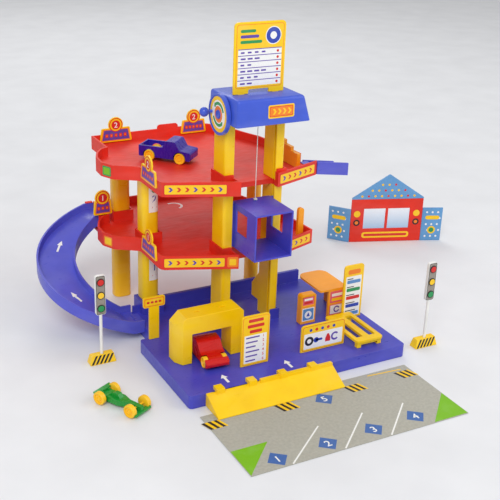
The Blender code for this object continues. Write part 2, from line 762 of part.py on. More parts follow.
def build_deck(name, floor, red, upper):
    """Build one deck: a tray with a rim, pads below, column sockets above and its openings."""
    corners = deck_outline()
    top = floor + DECK_RIM
    bottom = floor - DECK_DEPTH
    inner = rounded(inset(corners, DECK_WALL), steps=2)
    solid = plate("Z", rounded(corners, steps=2), bottom, top)
    cut(solid, plate("Z", inner, floor, top + OVERSHOOT))
    cut(solid, plate("Z", inner, bottom - OVERSHOOT, floor - DECK_SLAB))
    pad_high = floor - DECK_SLAB + BITE
    front = COLUMN_FRONT - PAD_MARGIN
    back = COLUMN_BACK + PAD_MARGIN
    join(solid, box((LEFT_COLUMN[0] - PAD_MARGIN, front, bottom), (SHAFT_LEFT - BITE, back, pad_high)))
    join(solid, box((SHAFT_RIGHT + BITE, front, bottom), (RIGHT_COLUMN[1] + PAD_MARGIN, back, pad_high)))
    supports = (SUPPORT_FRONT_LEFT, SUPPORT_BACK_LEFT, SUPPORT_BACK_RIGHT)
    for place in supports:
        join(solid, support_socket(place, OVERSHOOT, bottom, pad_high))
    shaft_sockets(solid, floor)
    socket_top = floor + SOCKET_HEIGHT
    if upper:
        join(solid, back_bump(top))
        cut(solid, box((DECK_RIGHT - EXIT_OPENING_DEPTH, EXIT_FRONT + BOARD_THICKNESS, floor),
                       (DECK_RIGHT + OVERSHOOT, EXIT_FRONT + EXIT_WIDTH, top + OVERSHOOT)))
    else:
        for place in supports:
            join(solid, support_socket(place, GAP + SOCKET_WALL, floor - BITE, socket_top))
        for place in supports:
            cut(solid, support_socket(place, GAP, floor, socket_top + OVERSHOOT))
        cut(solid, box((LANDING_X - OVERSHOOT, RAMP_MOUTH_NEAR + RAMP_WALL, floor),
                       (LANDING_X + DECK_WALL + OVERSHOOT, DECK_BACK - DECK_WALL, top + OVERSHOOT)))
    cut(solid, box((SHAFT_LEFT + OVERSHOOT, NOTCH_BACK - OVERSHOOT, floor),
                   (SHAFT_RIGHT - OVERSHOOT, NOTCH_BACK + DECK_WALL + OVERSHOOT, top + OVERSHOOT)))
    groove_back = GROOVE_FRONT + GROOVE_WIDTH
    low = bottom - OVERSHOOT
    high = socket_top + OVERSHOOT
    cut(solid, box((SHAFT_LEFT - GROOVE_DEPTH, GROOVE_FRONT, low),
                   (SHAFT_LEFT + OVERSHOOT, groove_back, high)))
    cut(solid, box((SHAFT_RIGHT - OVERSHOOT, GROOVE_FRONT, low),
                   (SHAFT_RIGHT + GROOVE_DEPTH, groove_back, high)))
    publish(name, solid, red)


def back_bump(rim_top):
    """Return the raised piece with round shoulders on the upper deck's back rim."""
    left = BUMP_X - BUMP_WIDTH / 2
    corners = rectangle(left, rim_top - BITE, BUMP_WIDTH, BUMP_HEIGHT + BITE)
    corners[2:] = [(*corner[:2], BUMP_ROUNDING) for corner in corners[2:]]
    return plate("Y", rounded(corners, steps=3), DECK_BACK - DECK_WALL + GAP, DECK_BACK - GAP)


# Lift columns and supports

def build_column(name, column, low, high, yellow, gusset=False, slotted=False):
    """Build one segment of a lift column with its guide groove and its moulded pocket."""
    left, right = column
    is_left = column is LEFT_COLUMN
    corners = [
        (left, COLUMN_FRONT, COLUMN_ROUNDING if is_left else 0),
        (right, COLUMN_FRONT, 0 if is_left else COLUMN_ROUNDING), (right, COLUMN_BACK, 0),
        (left, COLUMN_BACK, 0),
    ]
    solid = plate("Z", rounded(corners), low, high)
    if gusset:
        root = COLUMN_BACK - BITE
        back = COLUMN_BACK + GUSSET_DEPTH
        start = BASE_HEIGHT + SOCKET_HEIGHT + OVERSHOOT
        outline = [(root, start), (back, start), (back, start + GUSSET_DEPTH), (root, start + GUSSET_TOP)]
        join(solid, plate("X", outline, left + GAP, right - GAP))
    else:
        cut(solid, box((left + COLUMN_WALL, COLUMN_BACK - COLUMN_POCKET, low + COLUMN_WALL),
                       (right - COLUMN_WALL, COLUMN_BACK + OVERSHOOT, high - COLUMN_WALL)))
    if is_left:
        groove = (SHAFT_LEFT - GROOVE_DEPTH, SHAFT_LEFT + OVERSHOOT)
    else:
        groove = (SHAFT_RIGHT - OVERSHOOT, SHAFT_RIGHT + GROOVE_DEPTH)
    cut(solid, box((groove[0], GROOVE_FRONT, low - OVERSHOOT),
                   (groove[1], GROOVE_FRONT + GROOVE_WIDTH, high + OVERSHOOT)))
    if slotted:
        seat = AXLE_RADIUS + GAP
        cut(solid, box((left - OVERSHOOT, AXLE_Y - seat, AXLE_Z - seat),
                       (right + OVERSHOOT, AXLE_Y + seat, high + OVERSHOOT)))
    publish(name, solid, yellow)


def build_columns(yellow):
    """Build the three segments of both lift columns."""
    for side, column in (("left", LEFT_COLUMN), ("right", RIGHT_COLUMN)):
        build_column(f"lift_column_{side}_lower", column, ON_BASE, DECK_1_FLOOR - DECK_DEPTH - GAP, yellow,
                     gusset=side == "right")
        build_column(f"lift_column_{side}_middle", column, DECK_1_FLOOR + GAP,
                     DECK_2_FLOOR - DECK_DEPTH - GAP, yellow)
        build_column(f"lift_column_{side}_upper", column, DECK_2_FLOOR + GAP, COLUMN_TOP, yellow,
                     slotted=True)


def build_support(name, place, low, high, colour):
    """Build one hollow-backed support pillar."""
    left, front, width, depth = place
    right = left + width
    back = front + depth
    corners = [(left, front, SUPPORT_ROUNDING), (right, front, SUPPORT_ROUNDING),
               (right, back, SUPPORT_BACK_ROUNDING), (left, back, SUPPORT_BACK_ROUNDING)]
    solid = plate("Z", rounded(corners), low, high)
    pocket = box((left + COLUMN_WALL, back - COLUMN_POCKET, low + COLUMN_WALL),
                 (right - COLUMN_WALL, back + OVERSHOOT, high - COLUMN_WALL))
    publish(name, cut(solid, pocket), colour)


def build_supports(yellow, orange):
    """Build the lower and upper pillars of the three supports."""
    foot = BASE_HEIGHT + BACK_RIM_HEIGHT + GAP
    for name, place, start, colour in (("front_left", SUPPORT_FRONT_LEFT, foot, yellow),
                                       ("back_left", SUPPORT_BACK_LEFT, 0.0, orange),
                                       ("back_right", SUPPORT_BACK_RIGHT, 0.0, orange)):
        build_support(f"support_{name}_lower", place, start, DECK_1_FLOOR - DECK_DEPTH - GAP, colour)
        build_support(f"support_{name}_upper", place, DECK_1_FLOOR + GAP, DECK_2_FLOOR - DECK_DEPTH - GAP,
                      colour)


# Lift

def build_cabin(blue):
    """Build the open-ended cabin with its windows and the runners that slide in the grooves."""
    left = SHAFT_LEFT + CABIN_SIDE_GAP
    right = SHAFT_RIGHT - CABIN_SIDE_GAP
    top = CABIN_REST + CABIN_HEIGHT
    solid = box((left, CABIN_FRONT, CABIN_REST), (right, CABIN_BACK, top))
    join(solid, box((left - RUNNER_REACH, GROOVE_FRONT + RUNNER_PLAY, CABIN_REST),
                    (left + CABIN_WALL / 2, GROOVE_FRONT + GROOVE_WIDTH - RUNNER_PLAY, top)))
    join(solid, box((right - CABIN_WALL / 2, GROOVE_FRONT + RUNNER_PLAY, CABIN_REST),
                    (right + RUNNER_REACH, GROOVE_FRONT + GROOVE_WIDTH - RUNNER_PLAY, top)))
    cut(solid, box((left + CABIN_WALL, CABIN_FRONT - OVERSHOOT, CABIN_REST + CABIN_WALL),
                   (right - CABIN_WALL, CABIN_BACK + OVERSHOOT, top - CABIN_WALL)))
    sill = CABIN_REST + WINDOW_SILL
    cut(solid, box((left - OVERSHOOT, WINDOW_FRONT, sill),
                   (right + OVERSHOOT, WINDOW_BACK, sill + WINDOW_HEIGHT)))
    publish("lift_cabin", solid, blue, pivot=(0, (CABIN_FRONT + CABIN_BACK) / 2, CABIN_REST))


def build_winch(blue, white):
    """Build the crank wheel with its axle, the knob, the drum and the string."""
    inner = HOOD_LEFT - CRANK_RUNNING_GAP
    outer = inner - CRANK_THICKNESS
    centre = (AXLE_Y, AXLE_Z)
    wheel = cylinder("X", centre, CRANK_RADIUS, outer, inner, sides=40)
    dish = cylinder("X", centre, CRANK_RADIUS - CRANK_BORDER, outer - OVERSHOOT, outer + CRANK_DISH,
                    sides=40)
    axle_end = RIGHT_COLUMN[1] - OVERSHOOT
    join(cut(wheel, dish), cylinder("X", centre, AXLE_RADIUS, inner - BITE, axle_end, sides=16))
    join(wheel, cylinder("X", centre, CRANK_HUB_RADIUS, outer - CRANK_HUB_HEIGHT, outer + BITE + CRANK_DISH,
                         sides=20))
    pin = (AXLE_Y + KNOB_REACH, AXLE_Z)
    cut(wheel, cylinder("X", pin, KNOB_PIN_RADIUS + GAP, outer - 2 * OVERSHOOT, inner + OVERSHOOT,
                        sides=16))
    publish("crank_wheel", wheel, blue, pivot=(outer, *centre), smooth=True)
    knob_centre = outer - KNOB_PIN_LENGTH - KNOB_RADIUS / 2
    knob = ball((knob_centre, *pin), KNOB_RADIUS)
    join(knob, cylinder("X", pin, KNOB_PIN_RADIUS, knob_centre, inner - GAP, sides=16))
    publish("crank_knob", knob, blue, pivot=(outer, *pin), smooth=True)
    left = STRING_X - DRUM_WIDTH / 2
    right = STRING_X + DRUM_WIDTH / 2
    bore = AXLE_RADIUS + GAP
    profile = [
        (bore, right), (DRUM_FLANGE_RADIUS, right), (DRUM_FLANGE_RADIUS, right - DRUM_FLANGE),
        (DRUM_RADIUS, right - DRUM_FLANGE), (DRUM_RADIUS, left + DRUM_FLANGE),
        (DRUM_FLANGE_RADIUS, left + DRUM_FLANGE), (DRUM_FLANGE_RADIUS, left), (bore, left),
    ]
    drum = turned("X", centre, profile, sides=20)
    publish("winch_drum", drum, white, pivot=(STRING_X, *centre), smooth=True)
    string_y = AXLE_Y - DRUM_RADIUS - GAP - STRING_RADIUS
    roof = CABIN_REST + CABIN_HEIGHT
    string = cylinder("Z", (STRING_X, string_y), STRING_RADIUS, roof + GAP, AXLE_Z, sides=8)
    publish("lift_string", string, white, pivot=(STRING_X, string_y, AXLE_Z), smooth=True)


def hood_box(inward):
    """Return the hood's tapered outer shape, or its hollow when moved inwards by a wall."""
    low = (HOOD_LEFT + inward, HOOD_FRONT + inward, HOOD_BOTTOM - (OVERSHOOT if inward else 0))
    high = (HOOD_RIGHT - inward, HOOD_BACK - inward, HOOD_TOP - inward)
    top_low = (low[0] + HOOD_TAPER, low[1] + HOOD_TAPER)
    top_high = (high[0] - HOOD_TAPER_RIGHT, high[1] - HOOD_TAPER)
    solid = tapered_box(low, high, top_low, top_high)
    if inward:
        return solid
    middle = (HOOD_BOTTOM + HOOD_TOP) / 2
    return bevel(solid, HOOD_CORNER, 3, lambda a, b: max(a.z, b.z) > middle)


def build_hood(blue):
    """Build the machine housing that sits on the column tops and covers the winch."""
    solid = cut(hood_box(0), hood_box(HOOD_WALL))
    roof = HOOD_TOP - HOOD_WALL
    for column in (LEFT_COLUMN, RIGHT_COLUMN):
        join(solid, box((column[0] + 1, COLUMN_FRONT + 1, COLUMN_TOP + GAP),
                        (column[1] - 1, COLUMN_BACK - 1, roof + HOOD_WALL / 2)))
    cut(solid, cylinder("X", (AXLE_Y, AXLE_Z), AXLE_RADIUS + GAP, HOOD_LEFT - OVERSHOOT,
                        HOOD_LEFT + HOOD_TAPER + HOOD_WALL + OVERSHOOT, sides=16))
    for left in top_sign_tabs():
        cut(solid, box((left - GAP, TOP_SIGN_FRONT - GAP, roof - OVERSHOOT),
                       (left + TOP_SIGN_TAB_WIDTH + GAP, TOP_SIGN_FRONT + BOARD_THICKNESS + GAP,
                        HOOD_TOP + OVERSHOOT)))
    publish("hood", solid, blue)


# Boards

def top_sign_tabs():
    """Return the left ends of the two tabs of the top sign."""
    first = TOP_SIGN_LEFT + TOP_SIGN_TAB_INSET
    last = TOP_SIGN_LEFT + TOP_SIGN_WIDTH - TOP_SIGN_TAB_INSET - TOP_SIGN_TAB_WIDTH
    return first, last


def build_top_sign(yellow):
    """Build the board on the hood, with two tabs in the hood's slots and a notch between them."""
    bottom = HOOD_TOP + GAP
    right = TOP_SIGN_LEFT + TOP_SIGN_WIDTH
    top = bottom + TOP_SIGN_HEIGHT
    tab_bottom = bottom - TOP_SIGN_TAB_DEPTH
    first, last = top_sign_tabs()
    first_end = first + TOP_SIGN_TAB_WIDTH
    last_end = last + TOP_SIGN_TAB_WIDTH
    notch = BOARD_CORNER + 1
    corners = [
        (TOP_SIGN_LEFT, bottom, 0), (first, bottom, 0), (first, tab_bottom, 0), (first_end, tab_bottom, 0),
        (first_end, bottom, 0), (first_end + notch, bottom, 0), (first_end + notch, bottom + notch, 2),
        (last - notch, bottom + notch, 2), (last - notch, bottom, 0), (last, bottom, 0),
        (last, tab_bottom, 0), (last_end, tab_bottom, 0), (last_end, bottom, 0), (right, bottom, 0),
        (right, top, TOP_SIGN_CORNER), (TOP_SIGN_LEFT, top, TOP_SIGN_CORNER),
    ]
    back = TOP_SIGN_FRONT + BOARD_THICKNESS
    publish("top_sign", plate("Y", rounded(corners), TOP_SIGN_FRONT, back), yellow)


def build_board(name, left, width, front, top, colour):
    """Build an upright board with round top corners, standing on the base plate."""
    corners = [
        (left, ON_BASE, 0), (left + width, ON_BASE, 0), (left + width, top, BOARD_CORNER),
        (left, top, BOARD_CORNER),
    ]
    publish(name, plate("Y", rounded(corners), front, front + BOARD_THICKNESS), colour)


def build_boards(yellow):
    """Build the price board, the service board, the totem and the toll sign."""
    build_board("price_board", PRICE_BOARD_LEFT, PRICE_BOARD_WIDTH, PRICE_BOARD_FRONT, PRICE_BOARD_TOP,
                yellow)
    build_board("totem", TOTEM_LEFT, TOTEM_WIDTH, TOTEM_FRONT, TOTEM_TOP, yellow)
    build_board("service_board", SERVICE_BOARD_LEFT, SERVICE_BOARD_WIDTH, SERVICE_BOARD_FRONT,
                SERVICE_BOARD_TOP, yellow)
    half_post = TOLL_POST_WIDTH / 2
    half_sign = TOLL_SIGN_WIDTH / 2
    sign_top = TOLL_POST_TOP + TOLL_SIGN_HEIGHT
    corners = [
        (TOLL_X - half_post, ON_BASE, 0), (TOLL_X + half_post, ON_BASE, 0),
        (TOLL_X + half_post, TOLL_POST_TOP, 0), (TOLL_X + half_sign, TOLL_POST_TOP, 3),
        (TOLL_X + half_sign, sign_top, 3), (TOLL_X - half_sign, sign_top, 3),
        (TOLL_X - half_sign, TOLL_POST_TOP, 3), (TOLL_X - half_post, TOLL_POST_TOP, 0),
    ]
    toll = plate("Y", rounded(corners), TOLL_FRONT, TOLL_FRONT + BOARD_THICKNESS)
    publish("toll_sign", toll, yellow)


def build_level_sign(name, place, turn, rim_top, width, yellow):
    """Build a sign that hooks over a rim; its board hangs on the side the sign faces."""
    with Assembly(f"{name}_place", (*place, rim_top), turn):
        half = width / 2
        shoulder = half * LEVEL_SIGN_SHOULDER_SHARE
        start = math.asin((LEVEL_SIGN_SHOULDER - LEVEL_SIGN_DISC_HEIGHT) / LEVEL_SIGN_DISC)
        crown = arc((0.0, LEVEL_SIGN_DISC_HEIGHT), LEVEL_SIGN_DISC, start, math.pi - start, 14)
        soft = min(LEVEL_SIGN_CORNER, (shoulder - crown[0].x) / 3)
        corners = [(-half, -LEVEL_SIGN_FOOT, LEVEL_SIGN_CORNER), (half, -LEVEL_SIGN_FOOT, LEVEL_SIGN_CORNER),
                   (shoulder, LEVEL_SIGN_SHOULDER, soft)]
        corners += [(point.x, point.y, 0) for point in crown]
        corners.append((-shoulder, LEVEL_SIGN_SHOULDER, soft))
        front = -GAP - LEVEL_SIGN_THICKNESS
        board = plate("Y", rounded(corners, steps=2), front, -GAP)
        leg_front = DECK_WALL + GAP
        leg_back = leg_front + LEVEL_SIGN_HOOK_WALL
        bar_top = GAP + LEVEL_SIGN_HOOK_WALL
        hook = [(-GAP - BITE, GAP), (leg_front, GAP), (leg_front, -LEVEL_SIGN_HOOK_DROP),
                (leg_back, -LEVEL_SIGN_HOOK_DROP), (leg_back, bar_top), (-GAP - BITE, bar_top)]
        join(board, plate("X", hook, -LEVEL_SIGN_HOOK / 2, LEVEL_SIGN_HOOK / 2))
        publish(name, board, yellow)


def build_level_signs(yellow):
    """Build the five level signs on the rims of the decks and on the ramp connector."""
    rim_1 = DECK_1_FLOOR + DECK_RIM
    rim_2 = DECK_2_FLOOR + DECK_RIM
    left_rim = (DECK_FRONT_LEFT[0], (DECK_FRONT_LEFT[1] + DECK_LEFT_BEND[1]) / 2)
    back_rim = DECK_BACK - DECK_WALL
    build_level_sign("level_sign_1", left_rim, -math.pi / 2, rim_1, LEVEL_SIGN_WIDTH, yellow)
    build_level_sign("level_sign_2", left_rim, -math.pi / 2, rim_2, LEVEL_SIGN_WIDTH, yellow)
    build_level_sign("level_sign_3", (SIGN_BACK_LEFT_X, back_rim), 0, rim_2, LEVEL_SIGN_WIDTH, yellow)
    build_level_sign("level_sign_4", (SIGN_BACK_RIGHT_X, back_rim), 0, rim_2, LEVEL_SIGN_MIDDLE, yellow)
    cheek_front = RAMP_MOUTH_NEAR - CONNECTOR_WALL - 2 * OVERSHOOT
    build_level_sign("level_sign_5", (RAMP_X - OVERSHOOT - CONNECTOR_LENGTH / 2, cheek_front), 0,
                     DECK_1_FLOOR + CONNECTOR_TOP, LEVEL_SIGN_NARROW, yellow)


# Ramps

def ramp_rings(section):
    """Return the points of the ramp's cross-section at each station of its climb.

    A section point is (radius, height). The path is level beside the deck and beside the base
    plate, and falls evenly round the half circle between them.
    """
    stations = [(RAMP_X, 0.0, DECK_1_FLOOR)]
    for step in range(RAMP_STEPS + 1):
        share = step / RAMP_STEPS
        stations.append((RAMP_BEND_X, math.pi * share, DECK_1_FLOOR - (DECK_1_FLOOR - BASE_HEIGHT) * share))
    stations.append((RAMP_X, math.pi, BASE_HEIGHT))
    rings = []
    for x, angle, floor in stations:
        rings.append([Vector((x - radius * math.sin(angle), RAMP_CENTRE_Y + radius * math.cos(angle),
                              floor + height)) for radius, height in section])
    return rings


def build_curved_ramp(blue):
    """Build the half-round channel that climbs from the base plate to the lower deck."""
    inner = RAMP_INNER
    outer = RAMP_OUTER
    section = [
        (inner, -RAMP_SKIRT), (inner, RAMP_CURB), (inner + RAMP_WALL, RAMP_CURB), (inner + RAMP_WALL, 0),
        (outer - RAMP_WALL, 0), (outer - RAMP_WALL, RAMP_CURB), (outer, RAMP_CURB), (outer, -RAMP_SKIRT),
        (outer - RAMP_WALL, -RAMP_SKIRT), (outer - RAMP_WALL, -RAMP_FLOOR),
        (inner + RAMP_WALL, -RAMP_FLOOR),
        (inner + RAMP_WALL, -RAMP_SKIRT),
    ]
    shape = bmesh.new()
    rings = [[shape.verts.new(point * MM) for point in ring] for ring in ramp_rings(section)]
    for ring, following in zip(rings, rings[1:]):
        for index in range(len(section)):
            after = (index + 1) % len(section)
            shape.faces.new((ring[index], ring[after], following[after], following[index]))
    shape.faces.new(rings[0])
    shape.faces.new(rings[-1])
    bmesh.ops.recalc_face_normals(shape, faces=shape.faces)
    solid = from_bmesh("ramp", shape)
    for floor, low, high in (
            (BASE_HEIGHT, RAMP_CENTRE_Y - RAMP_OUTER + TONGUE_MARGIN,
             RAMP_CENTRE_Y - RAMP_INNER - TONGUE_MARGIN),
            (DECK_1_FLOOR, RAMP_MOUTH_NEAR + TONGUE_MARGIN, RAMP_MOUTH_FAR - TONGUE_MARGIN)):
        join(solid, plate("Y", tongue_outline(RAMP_X, floor), low, high))
    publish("curved_ramp", solid, blue, smooth=True)


def tongue_outline(edge, floor, side=1.0):
    """Return the hooked tongue that carries a ramp's end on a floor beyond its edge."""
    root = edge - side * TONGUE_ROOT
    shoulder = edge - side * GAP
    tip = edge + side * TONGUE_REACH
    under = floor + GAP
    top = under + TONGUE_THICKNESS
    return [(root, floor - BITE), (shoulder, floor - BITE), (shoulder, under), (tip, under),
            (tip, under + TONGUE_TIP), (shoulder, top), (root, top)]


def build_connector(red):
    """Build the red clip that hugs the ramp's upper end and carries a level sign."""
    right = RAMP_X - OVERSHOOT
    near = RAMP_MOUTH_NEAR - 2 * OVERSHOOT
    far = RAMP_MOUTH_FAR + OVERSHOOT
    bottom = DECK_1_FLOOR - CONNECTOR_DROP
    top = DECK_1_FLOOR + CONNECTOR_TOP
    lip_low = DECK_1_FLOOR + RAMP_CURB + GAP
    lip_high = lip_low + BITE
    outline = [
        (near - CONNECTOR_WALL, bottom), (far + CONNECTOR_WALL, bottom), (far + CONNECTOR_WALL, lip_high),
        (far - 4 * OVERSHOOT, lip_high), (far - 4 * OVERSHOOT, lip_low), (far, lip_low),
        (far, bottom + CONNECTOR_WALL), (near, bottom + CONNECTOR_WALL), (near, lip_low),
        (near + 5 * OVERSHOOT, lip_low), (near + 5 * OVERSHOOT, lip_high), (near, lip_high), (near, top),
        (near - CONNECTOR_WALL, top),
    ]
    publish("ramp_connector", plate("X", outline, right - CONNECTOR_LENGTH, right), red)


def build_exit_ramp(blue):
    """Build the short ramp that leaves the upper deck at its right end."""
    left = DECK_RIGHT + GAP
    right = left + EXIT_LENGTH
    floor = DECK_2_FLOOR
    back = EXIT_FRONT + EXIT_WIDTH

    def slanted(low, high):
        return [(left, floor + low), (right, floor + low - EXIT_FALL),
                (right, floor + high - EXIT_FALL), (left, floor + high)]

    solid = plate("Y", slanted(-BOARD_THICKNESS, 0), EXIT_FRONT + 1, back - 1)
    join(solid, plate("Y", slanted(-DECK_DEPTH, EXIT_FRONT_WALL), EXIT_FRONT, EXIT_FRONT + BOARD_THICKNESS))
    join(solid, plate("Y", slanted(-BOARD_THICKNESS - 1, EXIT_BACK_CURB), back - BOARD_THICKNESS, back))
    tongue = tongue_outline(left, floor, side=-1.0)
    join(solid, plate("Y", tongue, EXIT_FRONT + BOARD_THICKNESS + GAP, back - BOARD_THICKNESS - GAP))
    publish("exit_ramp", solid, blue)


def build_entry_ramp(yellow):
    """Build the wedge in front of the base plate and the hooks that clip over its edge."""
    bottom = MAT_THICKNESS + GAP
    back = BASE_FRONT - GAP
    front = BASE_FRONT - ENTRY_REACH
    crest = back - ENTRY_CREST
    right = ENTRY_LEFT + ENTRY_WIDTH
    wedge = [(front, bottom), (back, bottom), (back, BASE_HEIGHT), (crest, BASE_HEIGHT),
             (front, bottom + ENTRY_TOE)]
    solid = plate("X", wedge, ENTRY_LEFT, right)
    ledge_top = BASE_HEIGHT + ENTRY_LEDGE_HEIGHT
    ledge_root = BASE_HEIGHT - ENTRY_LEDGE_ROOT
    ledge = [(back - ENTRY_LEDGE_DEPTH, ledge_root), (back - GAP, ledge_root),
             (back - GAP, ledge_top), (back - ENTRY_LEDGE_DEPTH, ledge_top)]
    join(solid, plate("X", ledge, ENTRY_LEFT + ENTRY_LEDGE_START, right - OVERSHOOT))
    crown = BASE_HEIGHT + HOOK_HEIGHT
    hook_root = BASE_HEIGHT - HOOK_HEIGHT
    hook_front = back - HOOK_REACH - OVERSHOOT
    hook = [(hook_front, hook_root), (back - GAP, hook_root), (back - GAP, ON_BASE),
            (back + HOOK_REACH, ON_BASE), (back + HOOK_REACH, crown), (hook_front, crown)]
    for index in range(HOOK_COUNT):
        left = ENTRY_LEFT + HOOK_START + index * HOOK_PITCH - HOOK_WIDTH / 2
        join(solid, plate("X", hook, left, left + HOOK_WIDTH))
    publish("entry_ramp", solid, yellow)


# Buildings on the base plate

def build_gatehouse(yellow):
    """Build the arch over the entrance, with its front corners cut away."""
    right = GATE_LEFT + GATE_WIDTH
    back = GATE_FRONT + GATE_DEPTH
    arch_left = GATE_LEFT + GATE_LEFT_PIER
    arch_right = right - GATE_RIGHT_PIER
    shoulder = GATE_TOP - GATE_CHAMFER
    outline = [
        (GATE_LEFT, ON_BASE), (arch_left, ON_BASE), (arch_left, GATE_ARCH_TOP), (arch_right, GATE_ARCH_TOP),
        (arch_right, ON_BASE), (right, ON_BASE), (right, shoulder), (right - GATE_CHAMFER, GATE_TOP),
        (GATE_LEFT + GATE_CHAMFER, GATE_TOP), (GATE_LEFT, shoulder),
    ]
    solid = plate("Y", outline, GATE_FRONT, back)
    for edge, side in ((GATE_LEFT, -1), (right, 1)):
        beyond = edge + side * OVERSHOOT
        corner = [(edge - side * GATE_CORNER_WIDTH, GATE_FRONT), (edge, GATE_FRONT + GATE_CORNER_DEPTH),
                  (beyond, GATE_FRONT + GATE_CORNER_DEPTH), (beyond, GATE_FRONT - OVERSHOOT),
                  (edge - side * GATE_CORNER_WIDTH, GATE_FRONT - OVERSHOOT)]
        cut(solid, plate("Z", corner, ON_BASE - OVERSHOOT, GATE_TOP + OVERSHOOT))
    middle_y = (GATE_FRONT + back) / 2
    for share in GATE_SLOT_SHARES:
        middle_x = GATE_LEFT + GATE_WIDTH * share
        reach_x = GATE_SLOT_LENGTH / 2
        reach_y = GATE_SLOT_WIDTH / 2
        cut(solid, box((middle_x - reach_x, middle_y - reach_y, GATE_TOP - GATE_SLOT_DEPTH),
                       (middle_x + reach_x, middle_y + reach_y, GATE_TOP + OVERSHOOT)))
    publish("gatehouse", solid, yellow)


def build_pump(orange):
    """Build the fuel pump, a block with a recess in the top of its front."""
    right = PUMP_LEFT + PUMP_WIDTH
    corners = [(PUMP_LEFT, ON_BASE, 0), (right, ON_BASE, 0), (right, PUMP_TOP, PUMP_CORNER),
               (PUMP_LEFT, PUMP_TOP, PUMP_CORNER)]
    solid = plate("Y", rounded(corners), PUMP_FRONT, PUMP_FRONT + PUMP_DEPTH)
    recess_top = PUMP_TOP - PUMP_CORNER
    cut(solid, box((PUMP_LEFT + PUMP_RECESS_MARGIN, PUMP_FRONT - OVERSHOOT, recess_top - PUMP_RECESS_HEIGHT),
                   (right - PUMP_RECESS_MARGIN, PUMP_FRONT + OVERSHOOT, recess_top)))
    publish("fuel_pump", solid, orange)


def build_rack(yellow):
    """Build the low rack on four legs with two wheel slots and a skirt at its front."""
    right = RACK_LEFT + RACK_WIDTH
    back = RACK_FRONT + RACK_DEPTH
    low = RACK_TOP - RACK_PLATE
    outline = rounded(rectangle(RACK_LEFT, RACK_FRONT, RACK_WIDTH, RACK_DEPTH, RACK_CORNER), steps=3)
    solid = plate("Z", outline, low, RACK_TOP)
    for slot_left in (RACK_LEFT + RACK_LEG, right - RACK_LEG - RACK_SLOT_WIDTH):
        cut(solid, box((slot_left, RACK_FRONT + RACK_SLOT_MARGIN, low - OVERSHOOT),
                       (slot_left + RACK_SLOT_WIDTH, back - RACK_SLOT_MARGIN, RACK_TOP + OVERSHOOT)))
    first_leg = RACK_LEFT + RACK_LEG_INSET
    last_leg = right - RACK_LEG - RACK_LEG_INSET
    front_leg = RACK_FRONT + RACK_LEG_INSET
    for leg_left in (first_leg, last_leg):
        for leg_front in (front_leg, back - RACK_LEG - RACK_LEG_INSET):
            join(solid, box((leg_left, leg_front, ON_BASE),
                            (leg_left + RACK_LEG, leg_front + RACK_LEG, low + BITE)))
    join(solid, box((first_leg + BITE, front_leg + GAP, low - RACK_SKIRT),
                    (last_leg + BITE, front_leg + BOARD_THICKNESS, low + OVERSHOOT)))
    publish("service_rack", solid, yellow)


def build_service_wall(orange):
    """Build the service station: a front panel, a side wall and a canopy with a round back."""
    right = WALL_LEFT + WALL_WIDTH
    back = WALL_FRONT + WALL_DEPTH
    inside = WALL_FRONT + WALL_THICKNESS / 2
    under = WALL_TOP + CANOPY_THICKNESS / 2
    solid = box((WALL_LEFT, WALL_FRONT, ON_BASE), (right, WALL_FRONT + WALL_THICKNESS, under))
    join(solid, box((right - WALL_THICKNESS, inside, ON_BASE), (right - GAP, back - CANOPY_ROUNDING, under)))
    left = WALL_LEFT - CANOPY_REACH
    front = WALL_FRONT - GAP
    edge = right + GAP
    corners = [(left, front, CANOPY_CORNER), (edge, front, CANOPY_CORNER), (edge, back, CANOPY_ROUNDING),
               (left, back, CANOPY_ROUNDING)]
    join(solid, plate("Z", rounded(corners), WALL_TOP, WALL_TOP + CANOPY_THICKNESS))
    publish("service_wall", solid, orange)


def build_booths(orange):
    """Build the post on the lower deck and the stepped booth on the upper deck."""
    low = DECK_1_FLOOR + GAP
    left = BOOTH_1_X - BOOTH_1_WIDTH / 2
    right = left + BOOTH_1_WIDTH
    radius = BOOTH_1_WIDTH / 2 - GAP
    post_top = low + BOOTH_1_HEIGHT
    corners = [(left, low, 0), (right, low, 0), (right, post_top, radius), (left, post_top, radius)]
    post = plate("Y", rounded(corners), BOOTH_1_Y - BOARD_THICKNESS, BOOTH_1_Y + BOARD_THICKNESS)
    publish("deck_1_booth", post, orange)
    low = DECK_2_FLOOR + GAP
    front = BOOTH_2_FRONT
    back = front + BOOTH_2_DEPTH
    top = low + BOOTH_2_HEIGHT
    third = BOOTH_2_DEPTH / 3
    outline = [(front, low), (back, low), (back, top), (back - third, top),
               (back - third, top - BOOTH_2_STEP), (back - 2 * third, top - BOOTH_2_STEP),
               (back - 2 * third, top - 2 * BOOTH_2_STEP), (front, top - 2 * BOOTH_2_STEP)]
    booth = plate("X", outline, BOOTH_2_LEFT, BOOTH_2_LEFT + BOOTH_2_THICKNESS)
    publish("deck_2_booth", booth, orange)


# Cars, modelled heading +Y with their wheels on z 0

def car_body(shares, length, height, width):
    """Return a car body with soft side edges.

    The side profile's corners are (y, z, radius): y and z as shares of the length and the
    height, the radius as a share of the height.
    """
    corners = [(y * length, z * height, radius * height) for y, z, radius in shares]
    body = plate("X", rounded(corners, steps=3), -width / 2, width / 2)
    return bevel(body, CAR_EDGE, 2, lambda a, b: abs(a.x - b.x) < GAP)


